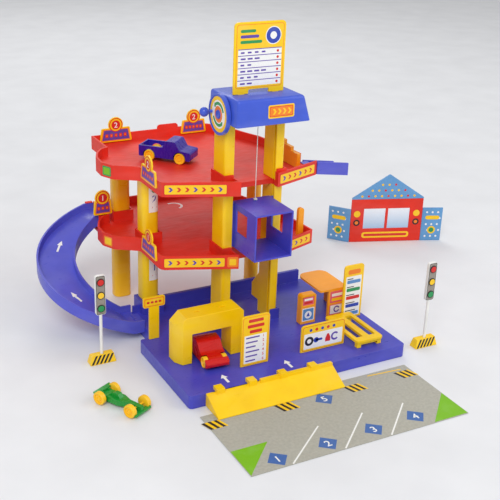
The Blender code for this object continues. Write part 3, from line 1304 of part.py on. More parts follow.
def add_axle(name, body, y, wheel_radius, track, inner_width, yellow):
    """Cut an axle bore and wheel arches in a body and build its pair of wheels."""
    half_track = track / 2
    cut(body, cylinder("X", (y, wheel_radius), CAR_AXLE_RADIUS + GAP, -track, track, sides=12))
    arch = wheel_radius + ARCH_CLEARANCE
    for side in (-1, 1):
        ends = sorted((side * (inner_width / 2), side * (half_track + WHEEL_WIDTH)))
        cut(body, cylinder("X", (y, wheel_radius), arch, ends[0], ends[1], sides=20))
    axle = cylinder("X", (y, wheel_radius), CAR_AXLE_RADIUS, -half_track, half_track, sides=12)
    for side in (-1, 1):
        face = side * (half_track + WHEEL_WIDTH / 2)
        inner = side * (half_track - WHEEL_WIDTH / 2)
        hub = face - side * WHEEL_DISH
        profile = [
            (0, hub), (wheel_radius * 0.5, hub), (wheel_radius * 0.65, face), (wheel_radius, face),
            (wheel_radius, inner), (0, inner),
        ]
        if side < 0:
            profile.reverse()
        join(axle, turned("X", (y, wheel_radius), profile, sides=16))
    publish(name, axle, yellow, pivot=(0, y, wheel_radius), smooth=True)


def build_car(name, body, wheelbase, wheel_radius, width, material, yellow):
    """Publish a car body and its two wheel pairs, whose wheels stay within the width."""
    inner_width = width - 2 * WHEEL_WIDTH - 2 * AXLE_END_GAP
    track = width - WHEEL_WIDTH
    for end, y in (("front", wheelbase / 2), ("rear", -wheelbase / 2)):
        add_axle(f"{name}_{end}_wheels", body, y, wheel_radius, track, inner_width, yellow)
    publish(f"{name}_body", body, material)


def build_red_car(red, yellow):
    """Build the low coupe in the gatehouse."""
    with Assembly("red_car_place", (*RED_CAR_PLACE, ON_BASE), RED_CAR_TURN):
        profile = [
            (-0.5, 0.16, 0.06), (0.48, 0.16, 0.06), (0.5, 0.36, 0.12), (0.4, 0.52, 0.5), (0.17, 0.6, 0.5),
            (0.02, 1.0, 0.35), (-0.19, 1.0, 0.4), (-0.4, 0.68, 0.4), (-0.5, 0.6, 0.12),
        ]
        body = car_body(profile, RED_CAR_LENGTH, RED_CAR_HEIGHT, RED_CAR_WIDTH)
        build_car("red_car", body, RED_CAR_WHEELBASE, RED_CAR_WHEEL, RED_CAR_WIDTH, red, yellow)


def build_blue_car(blue, yellow):
    """Build the pickup on the upper deck."""
    with Assembly("blue_car_place", (*BLUE_CAR_PLACE, DECK_2_FLOOR + GAP), BLUE_CAR_TURN):
        profile = [
            (-0.5, 0.2, 0.06), (0.5, 0.2, 0.06), (0.5, 0.57, 0.1), (0.29, 0.63, 0.1), (0.21, 1.0, 0.1),
            (0.02, 1.0, 0.1), (-0.03, 0.69, 0.0), (-0.5, 0.69, 0.03),
        ]
        body = car_body(profile, BLUE_CAR_LENGTH, BLUE_CAR_HEIGHT, BLUE_CAR_WIDTH)
        half_bed = BLUE_CAR_WIDTH / 2 - CAR_BED_WALL
        cut(body, box((-half_bed, CAR_BED_WALL - BLUE_CAR_LENGTH / 2, BLUE_CAR_HEIGHT * BLUE_CAR_BED_FLOOR),
                      (half_bed, BLUE_CAR_LENGTH * BLUE_CAR_BED_FRONT, BLUE_CAR_HEIGHT)))
        build_car("blue_car", body, BLUE_CAR_WHEELBASE, BLUE_CAR_WHEEL, BLUE_CAR_WIDTH, blue, yellow)


def build_green_car(green, yellow):
    """Build the formula car on the table, with its wheels outside the body."""
    with Assembly("green_car_place", (*GREEN_CAR_PLACE, 0), GREEN_CAR_TURN):
        length = GREEN_CAR_LENGTH
        height = GREEN_CAR_HEIGHT
        half = GREEN_CAR_WIDTH / 2
        waist = half * 0.45
        tip = half * 0.36
        nose = [
            (-half, -0.42 * length, 3), (half, -0.42 * length, 3), (half, -0.02 * length, 6),
            (waist, 0.15 * length, 6), (tip, 0.48 * length, 2), (-tip, 0.48 * length, 2),
            (-waist, 0.15 * length, 6), (-half, -0.02 * length, 6),
        ]
        body = plate("Z", rounded(nose, steps=3), 0.23 * height, 0.68 * height)
        wing = half + WHEEL_WIDTH
        join(body, box((-wing, 0.42 * length, 0.2 * height), (wing, 0.5 * length, 0.36 * height)))
        join(body, box((-wing, -0.5 * length, 0.73 * height), (wing, -0.4 * length, 0.86 * height)))
        stay = BOARD_THICKNESS / 2
        for middle in (-half * 0.64, half * 0.64):
            join(body, box((middle - stay, -0.49 * length, 0.36 * height),
                           (middle + stay, -0.37 * length, 0.8 * height)))
        hump = rounded([
            (-0.32 * length, 0.55 * height, 0), (0.02 * length, 0.55 * height, 0),
            (-0.06 * length, height, 2), (-0.15 * length, height, 2),
        ], steps=2)
        join(body, plate("X", hump, -waist, waist))
        width = GREEN_CAR_WIDTH + 2 * (AXLE_END_GAP + WHEEL_WIDTH)
        build_car("green_car", body, GREEN_CAR_WHEELBASE, GREEN_CAR_WHEEL, width, green, yellow)


# Traffic lights, stand and mat

def build_traffic_light(name, place, white, yellow):
    """Build one traffic light: a post with three lenses in a striped foot."""
    with Assembly(f"{name}_place", (*place, 0), 0):
        half_width = LIGHT_BASE_WIDTH / 2
        half_depth = LIGHT_BASE_DEPTH / 2
        slope = LIGHT_BASE_SLOPE
        foot = tapered_box((-half_width, -half_depth, 0), (half_width, half_depth, LIGHT_BASE_HEIGHT),
                           (slope - half_width, slope - half_depth), (half_width - slope, half_depth - slope))
        socket_bottom = LIGHT_BASE_HEIGHT - LIGHT_SOCKET
        cut(foot, cylinder("Z", (0, 0), LIGHT_POLE_RADIUS + GAP, socket_bottom, LIGHT_BASE_HEIGHT + OVERSHOOT,
                           sides=16))
        publish(f"{name}_base", foot, yellow)
        panel_low = LIGHT_HEIGHT - LIGHT_PANEL_HEIGHT
        half_panel = LIGHT_PANEL_DEPTH / 2
        outline = rounded(rectangle(-LIGHT_PANEL_WIDTH / 2, panel_low, LIGHT_PANEL_WIDTH, LIGHT_PANEL_HEIGHT,
                                    LIGHT_PANEL_CORNER))
        post = plate("Y", outline, -half_panel, half_panel)
        join(post, cylinder("Z", (0, 0), LIGHT_POLE_RADIUS - LIGHT_POLE_PLAY, socket_bottom + GAP,
                            panel_low + LIGHT_PANEL_DEPTH, sides=12))
        pitch = LIGHT_PANEL_HEIGHT / 3
        for index in range(3):
            height = panel_low + pitch * (index + 0.5)
            join(post, cylinder("Y", (0, height), LIGHT_LENS_RADIUS, -half_panel - LIGHT_LENS_DEPTH,
                                -half_panel + 1, sides=20))
        publish(f"{name}_post", post, white)


def build_wing(name, hinge_x, turn, length, blue):
    """Build one wing of the stand, with its hinge barrel at its own origin."""
    radius = BOARD_THICKNESS / 2
    barrel = radius * 0.99
    with_barrel = [(-radius, -radius, barrel), (length, -radius, 0), (length, radius, 0),
                   (-radius, radius, barrel)]
    wing = plate("Z", rounded(with_barrel), 0, STAND_WING_HEIGHT)
    wing.matrix_world = (Matrix.Translation(Vector((hinge_x, radius, 0)) * MM)
                         @ Matrix.Rotation(turn, 4, "Z") @ wing.matrix_world)
    publish(name, wing, blue, pivot=(hinge_x, radius, 0))


def build_stand(red, light_blue):
    """Build the folding stand: front wall with two windows, gable and two hinged wings."""
    with Assembly("stand_place", (*STAND_PLACE, 0), STAND_TURN):
        half = STAND_WIDTH / 2
        panel = [(-half, 0), (half, 0), (half, STAND_HEIGHT), (-half, STAND_HEIGHT)]
        front = plate("Y", panel, 0, BOARD_THICKNESS)
        for left in (-STAND_WINDOW_GAP / 2 - STAND_WINDOW_WIDTH, STAND_WINDOW_GAP / 2):
            cut(front, box((left, -OVERSHOOT, STAND_WINDOW_SILL),
                           (left + STAND_WINDOW_WIDTH, OVERSHOOT, STAND_WINDOW_SILL + STAND_WINDOW_HEIGHT)))
        publish("stand_front", front, red)
        reach = half + STAND_GABLE_OVERHANG
        low = STAND_HEIGHT + GAP
        triangle = [(-reach, low, 1.5), (reach, low, 1.5), (0, low + STAND_GABLE_HEIGHT, 3.0)]
        roof = plate("Y", rounded(triangle), 0, BOARD_THICKNESS)
        publish("stand_gable", roof, light_blue)
        hinge = half + GAP + BOARD_THICKNESS / 2
        build_wing("stand_left_wing", -hinge, STAND_LEFT_WING_TURN, STAND_LEFT_WING, light_blue)
        build_wing("stand_right_wing", hinge, STAND_RIGHT_WING_TURN, STAND_RIGHT_WING, light_blue)


def build_mat(grey):
    """Build the printed sheet."""
    outline = [(MAT_LEFT, MAT_FRONT), (MAT_RIGHT, MAT_FRONT), (MAT_RIGHT, MAT_BACK), (MAT_LEFT, MAT_BACK)]
    publish("parking_mat", plate("Z", outline, 0, MAT_THICKNESS), grey)


def main():
    """Build the whole toy."""
    blue = plastic("base_blue", 70, 75, 185)
    ramp_blue = plastic("ramp_blue", 95, 100, 200)
    hood_blue = plastic("hood_blue", 75, 100, 205)
    cabin_blue = plastic("cabin_blue", 85, 85, 195)
    red = plastic("deck_red", 225, 60, 40)
    yellow = plastic("yellow", 255, 205, 10)
    orange = plastic("orange", 245, 150, 30)
    white = plastic("white", 240, 240, 240)
    build_base(blue)
    build_columns(yellow)
    build_supports(yellow, orange)
    build_deck("deck_1", DECK_1_FLOOR, red, upper=False)
    build_deck("deck_2", DECK_2_FLOOR, red, upper=True)
    build_cabin(cabin_blue)
    build_winch(hood_blue, white)
    build_hood(hood_blue)
    build_top_sign(yellow)
    build_boards(yellow)
    build_level_signs(yellow)
    build_curved_ramp(ramp_blue)
    build_connector(red)
    build_exit_ramp(ramp_blue)
    build_entry_ramp(yellow)
    build_gatehouse(yellow)
    build_pump(orange)
    build_rack(yellow)
    build_service_wall(orange)
    build_booths(orange)
    build_red_car(plastic("car_red", 215, 50, 40), yellow)
    build_blue_car(plastic("car_blue", 70, 45, 160), yellow)
    build_green_car(plastic("car_green", 40, 160, 60), yellow)
    for side, place in (("left", LIGHT_LEFT_PLACE), ("right", LIGHT_RIGHT_PLACE)):
        build_traffic_light(f"traffic_light_{side}", place, white, yellow)
    build_stand(red, plastic("stand_blue", 110, 160, 210))
    build_mat(plastic("mat_grey", 180, 178, 165, roughness=0.7))


clear_scene()
PARTS = new_collection("toy_parking_garage")
TOOLS = new_collection("cutters")
main()
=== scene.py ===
"""The look of a toy parking garage: moulded plastic, printed labels, camera and studio."""
import logging
import math
from collections.abc import Callable
from dataclasses import dataclass, field
from enum import Enum

import bmesh
import bpy
from mathutils import Matrix, Vector


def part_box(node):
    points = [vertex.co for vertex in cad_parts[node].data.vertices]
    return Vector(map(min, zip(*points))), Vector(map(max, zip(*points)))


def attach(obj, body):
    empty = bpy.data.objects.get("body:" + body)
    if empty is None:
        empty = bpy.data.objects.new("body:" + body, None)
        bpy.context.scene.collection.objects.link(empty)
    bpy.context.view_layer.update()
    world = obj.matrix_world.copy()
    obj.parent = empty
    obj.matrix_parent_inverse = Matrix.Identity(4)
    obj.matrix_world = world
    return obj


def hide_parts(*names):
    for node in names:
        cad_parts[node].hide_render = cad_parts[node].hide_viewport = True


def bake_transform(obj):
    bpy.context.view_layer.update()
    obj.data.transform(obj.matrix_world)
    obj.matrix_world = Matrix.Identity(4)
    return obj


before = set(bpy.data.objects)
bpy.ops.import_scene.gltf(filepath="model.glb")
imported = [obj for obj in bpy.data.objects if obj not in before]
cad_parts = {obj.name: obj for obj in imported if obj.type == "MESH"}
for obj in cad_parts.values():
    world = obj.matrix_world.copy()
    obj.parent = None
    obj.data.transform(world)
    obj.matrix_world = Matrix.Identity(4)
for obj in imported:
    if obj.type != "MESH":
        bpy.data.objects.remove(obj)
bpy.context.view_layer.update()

MM = 0.001
ROOT = "garage"
LOG = logging.getLogger("garage")

RIGHT = Vector((1, 0, 0))
BACK = Vector((0, 1, 0))
UP = Vector((0, 0, 1))
DECK_FLOORS = (138.0, 252.0)
BASE_FLOOR = 20.0
SHARP_EDGE = math.radians(32)
LABEL_FOOT = 0.02
CAP_SHARE = 0.72
CORD_COLOUR = (236, 236, 230)

Point = tuple[float, float]
Colour = tuple[int, int, int]
Surface = Callable[[float, float], tuple[Vector, Vector]]


def linear(channel: int) -> float:
    """Return the linear value of a screen colour channel.

    Args:
        channel: The screen value from 0 to 255.

    Returns:
        The value from 0 to 1 that a shader takes.
    """
    share = channel / 255.0
    if share <= 0.04045:
        return share / 12.92
    return ((share + 0.055) / 1.055) ** 2.4


def shade(colour: Colour, factor: float = 1.0) -> tuple[float, float, float, float]:
    """Return a screen colour as a linear one, made lighter or darker.

    Args:
        colour: Red, green and blue from 0 to 255.
        factor: How much of its light the colour keeps.

    Returns:
        The linear colour with a full alpha.
    """
    red, green, blue = (min(1.0, linear(channel) * factor) for channel in colour)
    return red, green, blue, 1.0


class Graph:
    """A material's node tree, with short ways to add and join its nodes."""

    def __init__(self, name: str) -> None:
        """Start a material that has a Principled shader."""
        self.material = bpy.data.materials.new(name)
        self.material.use_nodes = True
        self.tree = self.material.node_tree
        self.shader = self.tree.nodes["Principled BSDF"]
        self.place = self.add("ShaderNodeTexCoord").outputs["Object"]

    def add(self, kind: str, **values: object) -> bpy.types.Node:
        """Add a node and set its properties.

        Args:
            kind: The node's type name.
            **values: Properties of the node, by name.

        Returns:
            The new node.
        """
        node = self.tree.nodes.new(kind)
        for key, value in values.items():
            setattr(node, key, value)
        return node

    def link(self, start: bpy.types.NodeSocket, end: bpy.types.NodeSocket) -> None:
        """Join an output to an input."""
        self.tree.links.new(start, end)

    def noise(self, scale: float, detail: float = 2.0,
              stretch: Vector | None = None) -> bpy.types.NodeSocket:
        """Add a noise in object space.

        Args:
            scale: Waves per metre.
            detail: How many finer layers the noise has.
            stretch: A scale along each axis, or None for an even noise.

        Returns:
            The noise's value output.
        """
        node = self.add("ShaderNodeTexNoise")
        node.inputs["Scale"].default_value = scale
        node.inputs["Detail"].default_value = detail
        source = self.place
        if stretch is not None:
            mapping = self.add("ShaderNodeMapping")
            mapping.inputs["Scale"].default_value = stretch
            self.link(source, mapping.inputs["Vector"])
            source = mapping.outputs["Vector"]
        self.link(source, node.inputs["Vector"])
        return node.outputs["Fac"]

    def spread(self, value: bpy.types.NodeSocket, low: float, high: float, start: float = 0.3,
               end: float = 0.7) -> bpy.types.NodeSocket:
        """Map a value's middle range onto another range.

        Args:
            value: The value to map.
            low: The result at the start of the range.
            high: The result at its end.
            start: Where the range starts.
            end: Where the range ends.

        Returns:
            The mapped value.
        """
        node = self.add("ShaderNodeMapRange")
        node.inputs["From Min"].default_value = start
        node.inputs["From Max"].default_value = end
        node.inputs["To Min"].default_value = low
        node.inputs["To Max"].default_value = high
        self.link(value, node.inputs["Value"])
        return node.outputs["Result"]

    def mix(self, factor: bpy.types.NodeSocket, first: tuple, second: tuple) -> bpy.types.NodeSocket:
        """Blend two colours by a factor, or a linked colour with a fixed one."""
        node = self.add("ShaderNodeMix", data_type="RGBA")
        self.link(factor, node.inputs["Factor"])
        for socket, colour in ((node.inputs[6], first), (node.inputs[7], second)):
            if isinstance(colour, bpy.types.NodeSocket):
                self.link(colour, socket)
            else:
                socket.default_value = colour
        return node.outputs[2]

    def bump(self, height: bpy.types.NodeSocket, strength: float, distance: float) -> None:
        """Roughen the surface by a height."""
        node = self.add("ShaderNodeBump")
        node.inputs["Strength"].default_value = strength
        node.inputs["Distance"].default_value = distance
        self.link(height, node.inputs["Height"])
        self.link(node.outputs["Normal"], self.shader.inputs["Normal"])


class Finish:
    """A finish with a name, whose material is made once."""

    name: str

    def paint(self, graph: Graph) -> None:
        """Fill the material's node tree."""
        raise NotImplementedError

    def material(self) -> bpy.types.Material:
        """Return the material, made once."""
        known = bpy.data.materials.get(self.name)
        if known is None:
            graph = Graph(self.name)
            self.paint(graph)
            known = graph.material
        return known


@dataclass(frozen=True)
class MouldedPlastic(Finish):
    """Glossy moulded plastic: cloudy pigment, faint flow marks, a fine skin and scuffs."""

    name: str
    colour: Colour
    roughness: float = 0.34
    cloud: float = 0.07
    flow: float = 0.05
    skin: float = 0.10
    coat: float = 0.12

    def paint(self, graph: Graph) -> None:
        """Fill the material's node tree."""
        cloud = graph.noise(28.0, 3.0)
        body = graph.mix(graph.spread(cloud, 0.0, 1.0), shade(self.colour, 1.0 - self.cloud),
                         shade(self.colour, 1.0 + self.cloud))
        flow = graph.noise(9.0, 5.0, Vector((1.0, 1.0, 5.0)))
        graph.link(graph.mix(graph.spread(flow, 0.0, self.flow, 0.5, 0.75), body, (1.0, 1.0, 1.0, 1.0)),
                   graph.shader.inputs["Base Color"])
        scuff = graph.noise(60.0, 6.0, Vector((1.0, 6.0, 2.0)))
        graph.link(graph.spread(scuff, self.roughness - 0.07, self.roughness + 0.12),
                   graph.shader.inputs["Roughness"])
        graph.bump(graph.noise(700.0, 2.0), self.skin, 0.0002)
        graph.shader.inputs["IOR"].default_value = 1.46
        graph.shader.inputs["Coat Weight"].default_value = self.coat
        graph.shader.inputs["Coat Roughness"].default_value = 0.12


@dataclass(frozen=True)
class PrintedInk(Finish):
    """Ink on a sticker or a sheet: uneven cover, paper grain and a thin varnish."""

    name: str
    colour: Colour
    roughness: float = 0.45
    mottle: float = 0.07
    grain: float = 900.0

    def paint(self, graph: Graph) -> None:
        """Fill the material's node tree."""
        fine = graph.noise(self.grain, 2.0)
        broad = graph.noise(45.0, 4.0)
        cover = graph.mix(graph.spread(fine, 0.0, 1.0), shade(self.colour, 1.0 - self.mottle),
                          shade(self.colour, 1.0 + self.mottle / 2))
        worn = tuple(0.88 * channel + 0.10 for channel in shade(self.colour)[:3]) + (1.0,)
        graph.link(graph.mix(graph.spread(broad, 0.0, 0.5, 0.55, 0.8), cover, worn),
                   graph.shader.inputs["Base Color"])
        graph.link(graph.spread(broad, self.roughness - 0.08, self.roughness + 0.10),
                   graph.shader.inputs["Roughness"])
        graph.bump(fine, 0.05, 0.0001)


@dataclass(frozen=True)
class SkyReflectionPane(Finish):
    """A window pane with a painted sky reflection: pale at the top, fading down to a deeper blue."""

    name: str
    high: Colour
    low: Colour
    bottom: float
    top: float

    def paint(self, graph: Graph) -> None:
        """Fill the material's node tree."""
        # Painted reflection: the pane's colour fades with height from pale sky to a deeper blue, standing
        # in for the sky mirrored in the glass.
        split = graph.add("ShaderNodeSeparateXYZ")
        graph.link(graph.place, split.inputs["Vector"])
        fade = graph.spread(split.outputs["Z"], 0.0, 1.0, self.bottom, self.top)
        graph.link(graph.mix(fade, shade(self.low), shade(self.high)), graph.shader.inputs["Base Color"])
        graph.link(graph.spread(graph.noise(80.0, 3.0), 0.16, 0.28), graph.shader.inputs["Roughness"])


@dataclass(frozen=True)
class SpunCord(Finish):
    """A pale twisted cord with visible strands."""

    name: str
    colour: Colour
    strands: float = 1400.0

    def paint(self, graph: Graph) -> None:
        """Fill the material's node tree."""
        wave = graph.add("ShaderNodeTexWave", bands_direction="DIAGONAL")
        wave.inputs["Scale"].default_value = self.strands
        graph.link(graph.place, wave.inputs["Vector"])
        graph.link(graph.mix(wave.outputs["Fac"], shade(self.colour, 0.75), shade(self.colour)),
                   graph.shader.inputs["Base Color"])
        graph.bump(wave.outputs["Fac"], 0.5, 0.0002)
        graph.shader.inputs["Roughness"].default_value = 0.8


class Plastic(Enum):
    """The plastics that the toy is moulded from, and one yellow deepened by painted shade."""

    BASE_BLUE = MouldedPlastic("moulded_base_blue", (64, 66, 186), flow=0.03)
    RAMP_BLUE = MouldedPlastic("moulded_ramp_blue", (84, 88, 202), flow=0.04)
    HOOD_BLUE = MouldedPlastic("moulded_hood_blue", (62, 90, 206), flow=0.04)
    CABIN_BLUE = MouldedPlastic("moulded_cabin_blue", (70, 72, 194), flow=0.04)
    RED = MouldedPlastic("moulded_deck_red", (226, 44, 22), 0.5, flow=0.03, coat=0.0)
    YELLOW = MouldedPlastic("moulded_yellow", (255, 205, 0), flow=0.03)
    # Painted shade: the back supports are yellow plastic, and this deeper, more orange copy of the yellow
    # stands in for the shade under the decks.
    YELLOW_PAINTED_SHADE = MouldedPlastic("moulded_yellow_painted_shade", (255, 192, 8), flow=0.03)
    ORANGE = MouldedPlastic("moulded_orange", (252, 164, 18), flow=0.03)
    WHITE = MouldedPlastic("moulded_white", (236, 236, 232))
    CAR_RED = MouldedPlastic("moulded_car_red", (206, 20, 16), 0.26, flow=0.02)
    CAR_BLUE = MouldedPlastic("moulded_car_blue", (46, 22, 156), 0.26, flow=0.02)
    CAR_GREEN = MouldedPlastic("moulded_car_green", (20, 148, 50), 0.26, flow=0.02)
    WHEEL = MouldedPlastic("moulded_wheel", (255, 196, 30), 0.38)
    STAND_BLUE = MouldedPlastic("moulded_stand_blue", (98, 156, 208), 0.42)


class Ink(Enum):
    """The inks that labels are printed with."""

    YELLOW = PrintedInk("ink_yellow", (255, 204, 20))
    WHITE = PrintedInk("ink_white", (244, 244, 240))
    RED = PrintedInk("ink_red", (216, 40, 34))
    ORANGE = PrintedInk("ink_orange", (244, 130, 30))
    BLUE = PrintedInk("ink_blue", (44, 70, 176))
    VIOLET = PrintedInk("ink_violet", (96, 72, 168))
    SKY = PrintedInk("ink_sky", (88, 142, 200))
    GREEN = PrintedInk("ink_green", (36, 150, 84))
    LIME = PrintedInk("ink_lime", (122, 188, 0))
    ROSE = PrintedInk("ink_rose", (232, 96, 120))
    TAUPE = PrintedInk("ink_taupe", (150, 142, 132))
    BLACK = PrintedInk("ink_black", (30, 28, 34))
    MAT = PrintedInk("mat_sheet_print", (176, 174, 162), 0.6, 0.10, 260.0)
    SIGN_BLUE = PrintedInk("ink_sign_blue", (62, 104, 172))


def add_object(name: str, data: bpy.types.ID) -> bpy.types.Object:
    """Put an object into the scene and return it."""
    piece = bpy.data.objects.new(name, data)
    bpy.context.scene.collection.objects.link(piece)
    return piece


def evaluated_mesh(holder: bpy.types.Object) -> bpy.types.Mesh:
    """Return a text's or a curve's final mesh, and remove its object."""
    bpy.context.view_layer.update()
    graph = bpy.context.evaluated_depsgraph_get()
    mesh = bpy.data.meshes.new_from_object(holder.evaluated_get(graph))
    bpy.data.objects.remove(holder, do_unlink=True)
    return mesh


def use_finish(piece: bpy.types.Object, finish: Enum) -> None:
    """Put one finish on the whole of a piece."""
    piece.data.materials.clear()
    piece.data.materials.append(finish.value.material())


def clean_shading() -> bpy.types.NodeTree:
    """Return the modifier group that welds a solid and shades its round faces smooth."""
    known = bpy.data.node_groups.get("clean_shading")
    if known is not None:
        return known
    group = bpy.data.node_groups.new("clean_shading", "GeometryNodeTree")
    group.interface.new_socket("Geometry", in_out="INPUT", socket_type="NodeSocketGeometry")
    group.interface.new_socket("Geometry", in_out="OUTPUT", socket_type="NodeSocketGeometry")
    nodes = group.nodes
    start = nodes.new("NodeGroupInput")
    weld = nodes.new("GeometryNodeMergeByDistance")
    weld.inputs["Distance"].default_value = 0.00001
    plain = nodes.new("GeometryNodeRemoveAttribute")
    plain.inputs["Name"].default_value = "custom_normal"
    smooth = nodes.new("GeometryNodeSetShadeSmooth")
    smooth.domain = "FACE"
    sharp = nodes.new("GeometryNodeSetShadeSmooth")
    sharp.domain = "EDGE"
    sharp.inputs["Shade Smooth"].default_value = False
    angle = nodes.new("GeometryNodeInputMeshEdgeAngle")
    compare = nodes.new("FunctionNodeCompare")
    compare.operation = "GREATER_THAN"
    compare.inputs["B"].default_value = SHARP_EDGE
    end = nodes.new("NodeGroupOutput")
    links = group.links
    links.new(start.outputs[0], weld.inputs["Geometry"])
    links.new(weld.outputs[0], plain.inputs["Geometry"])
    links.new(plain.outputs[0], smooth.inputs["Geometry"])
    links.new(smooth.outputs[0], sharp.inputs["Geometry"])
    links.new(angle.outputs["Unsigned Angle"], compare.inputs["A"])
    links.new(compare.outputs["Result"], sharp.inputs["Selection"])
    links.new(sharp.outputs[0], end.inputs[0])
    return group


def dress_node(name: str, finish: Enum, edge: float = 0.5) -> bpy.types.Object:
    """Give a CAD node its finish, smooth shading and small rounded edges.

    Args:
        name: The node's name.
        finish: The plastic or ink that covers it.
        edge: The width of its edge rounding in millimetres, or 0 for none.

    Returns:
        The node's object.
    """
    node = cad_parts[name]
    use_finish(node, finish)
    shading = node.modifiers.new("shading", "NODES")
    shading.node_group = clean_shading()
    if edge > 0:
        bevel = node.modifiers.new("edges", "BEVEL")
        bevel.width = edge * MM
        bevel.segments = 2
        bevel.limit_method = "ANGLE"
        bevel.angle_limit = SHARP_EDGE
        bevel.harden_normals = True
    return node


def circle_points(x: float, y: float, radius: float, sides: int = 32, first: float = 0.0,
                  last: float = 360.0) -> list[Point]:
    """Return points round a circle or along a part of it.

    Args:
        x: The centre's place across.
        y: The centre's place up.
        radius: The circle's radius.
        sides: How many straight stretches the curve has.
        first: The starting angle in degrees.
        last: The ending angle in degrees.

    Returns:
        The points, anticlockwise.
    """
    whole = abs(last - first - 360.0) < 0.01
    count = sides if whole else sides + 1
    angles = [math.radians(first + (last - first) * step / sides) for step in range(count)]
    return [(x + radius * math.cos(angle), y + radius * math.sin(angle)) for angle in angles]


def round_rectangle(x: float, y: float, width: float, height: float, radius: float) -> list[Point]:
    """Return a rectangle with round corners, from its lower left corner."""
    if radius <= 0:
        return [(x, y), (x + width, y), (x + width, y + height), (x, y + height)]
    points: list[Point] = []
    for centre_x, centre_y, start in (
            (x + width - radius, y + radius, -90), (x + width - radius, y + height - radius, 0),
            (x + radius, y + height - radius, 90), (x + radius, y + radius, 180)):
        points += circle_points(centre_x, centre_y, radius, 5, start, start + 90)
    return points


@dataclass
class Label:
    """A printed label: flat shapes in layers on one plane, in millimetres from its corner."""

    name: str
    corner: Point | Vector
    across: Vector
    up: Vector
    body: str = ROOT
    lift: float = 0.12
    step: float = 0.07
    surface: Surface | None = None
    shapes: list[tuple[list[Point], int, Enum]] = field(default_factory=list)

    def flat(self, x: float, y: float) -> tuple[Vector, Vector]:
        """Return a place on the label's flat plane, in millimetres, and the plane's normal."""
        right = Vector(self.across).normalized()
        above = Vector(self.up).normalized()
        return Vector(self.corner) + right * x + above * y, right.cross(above)

    def area(self, points: list[Point], ink: Enum, layer: int = 0) -> None:
        """Add a flat shape."""
        self.shapes.append((points, layer, ink))

    def panel(self, x: float, y: float, width: float, height: float, ink: Enum, layer: int = 0,
              radius: float = 0.0) -> None:
        """Add a rectangle from its lower left corner."""
        self.area(round_rectangle(x, y, width, height, radius), ink, layer)

    def disc(self, x: float, y: float, radius: float, ink: Enum, layer: int = 0) -> None:
        """Add a disc."""
        self.area(circle_points(x, y, radius), ink, layer)

    def arrow(self, x: float, y: float, length: float, width: float, ink: Enum, layer: int = 0) -> None:
        """Add an arrow that points up, centred on a point."""
        low = y - length / 2
        neck = y + length * 0.1
        shaft = width * 0.18
        self.area([(x - shaft, low), (x + shaft, low), (x + shaft, neck), (x + width / 2, neck),
                   (x, y + length / 2), (x - width / 2, neck), (x - shaft, neck)], ink, layer)

    def arc_band(self, x: float, y: float, radius: float, width: float, first: float, last: float,
                 ink: Enum, layer: int = 0) -> None:
        """Add a band along an arc."""
        outer = circle_points(x, y, radius + width / 2, 18, first, last)
        inner = circle_points(x, y, radius - width / 2, 18, first, last)
        self.area(outer + inner[::-1], ink, layer)

    def stripes(self, x: float, y: float, width: float, height: float, count: int, ink: Enum,
                layer: int = 1) -> None:
        """Add slanted hazard stripes inside a rectangle."""
        pitch = width / count
        for index in range(count):
            left = x + pitch * index
            lean = height * 0.6
            self.area([(left, y), (left + pitch * 0.55, y), (left + pitch * 0.55 + lean, y + height),
                       (left + lean, y + height)], ink, layer)

    def number(self, x: float, y: float, height: float, text: str, ink: Enum, layer: int = 1) -> None:
        """Add a plain number, centred on a point."""
        curve = bpy.data.curves.new("number", "FONT")
        curve.body = text
        curve.size = height / CAP_SHARE
        curve.align_x = "CENTER"
        curve.offset = height * 0.015
        mesh = evaluated_mesh(add_object("number", curve))
        for polygon in mesh.polygons:
            points = [(mesh.vertices[index].co.x + x, mesh.vertices[index].co.y + y - height / 2)
                      for index in polygon.vertices]
            self.shapes.append((points, layer, ink))
        bpy.data.curves.remove(curve)
        bpy.data.meshes.remove(mesh)

    def build(self) -> bpy.types.Object:
        """Make the label's mesh and let it ride on its body.

        Returns:
            The label's object.
        """
        mesh = bpy.data.meshes.new(self.name)
        shape = bmesh.new()
        inks: list[Enum] = []
        surface = self.surface or self.flat
        for points, layer, ink in self.shapes:
            if ink not in inks:
                inks.append(ink)
                mesh.materials.append(ink.value.material())
            high = self.lift + self.step * layer
            places = [surface(x, y) for x, y in points]
            top = [shape.verts.new((place + out * high) * MM) for place, out in places]
            foot = [shape.verts.new((place + out * LABEL_FOOT) * MM) for place, out in places]
            faces = [shape.faces.new(top)]
            for index in range(len(points)):
                after = (index + 1) % len(points)
                faces.append(shape.faces.new((foot[index], foot[after], top[after], top[index])))
            for face in faces:
                face.material_index = inks.index(ink)
        shape.to_mesh(mesh)
        shape.free()
        piece = add_object(self.name, mesh)
        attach(piece, self.body)
        return piece


def front_label(name: str, node: str, inset: float = 2.0, body: str = ROOT) -> tuple[Label, float, float]:
    """Start a label on the front of a node that faces -Y.

    Args:
        name: The label's name.
        node: The node that carries it.
        inset: How far the label stays inside the node's edges, in millimetres.
        body: The body that it rides on.

    Returns:
        The label, and its width and height in millimetres.
    """
    low, high = (Vector(corner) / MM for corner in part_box(node))
    corner = Vector((low.x + inset, low.y, low.z + inset))
    label = Label(name, corner, RIGHT, UP, body)
    return label, high.x - low.x - 2 * inset, high.z - low.z - 2 * inset


def wheel_profile(radius: float, half: float) -> list[Point]:
    """Return half a wheel's section as (distance from the axle, place along it)."""
    return [(0.0, half * 0.55), (radius * 0.22, half * 0.55), (radius * 0.26, half * 0.8),
            (radius * 0.36, half * 0.8), (radius * 0.40, half * 0.45), (radius * 0.66, half * 0.45),
            (radius * 0.72, half * 0.95), (radius * 0.90, half), (radius * 0.98, half * 0.8),
            (radius, half * 0.5), (radius * 0.97, half * 0.18), (radius * 0.97, -half * 0.18),
            (radius, -half * 0.5), (radius * 0.98, -half * 0.85), (radius * 0.9, -half), (0.0, -half)]


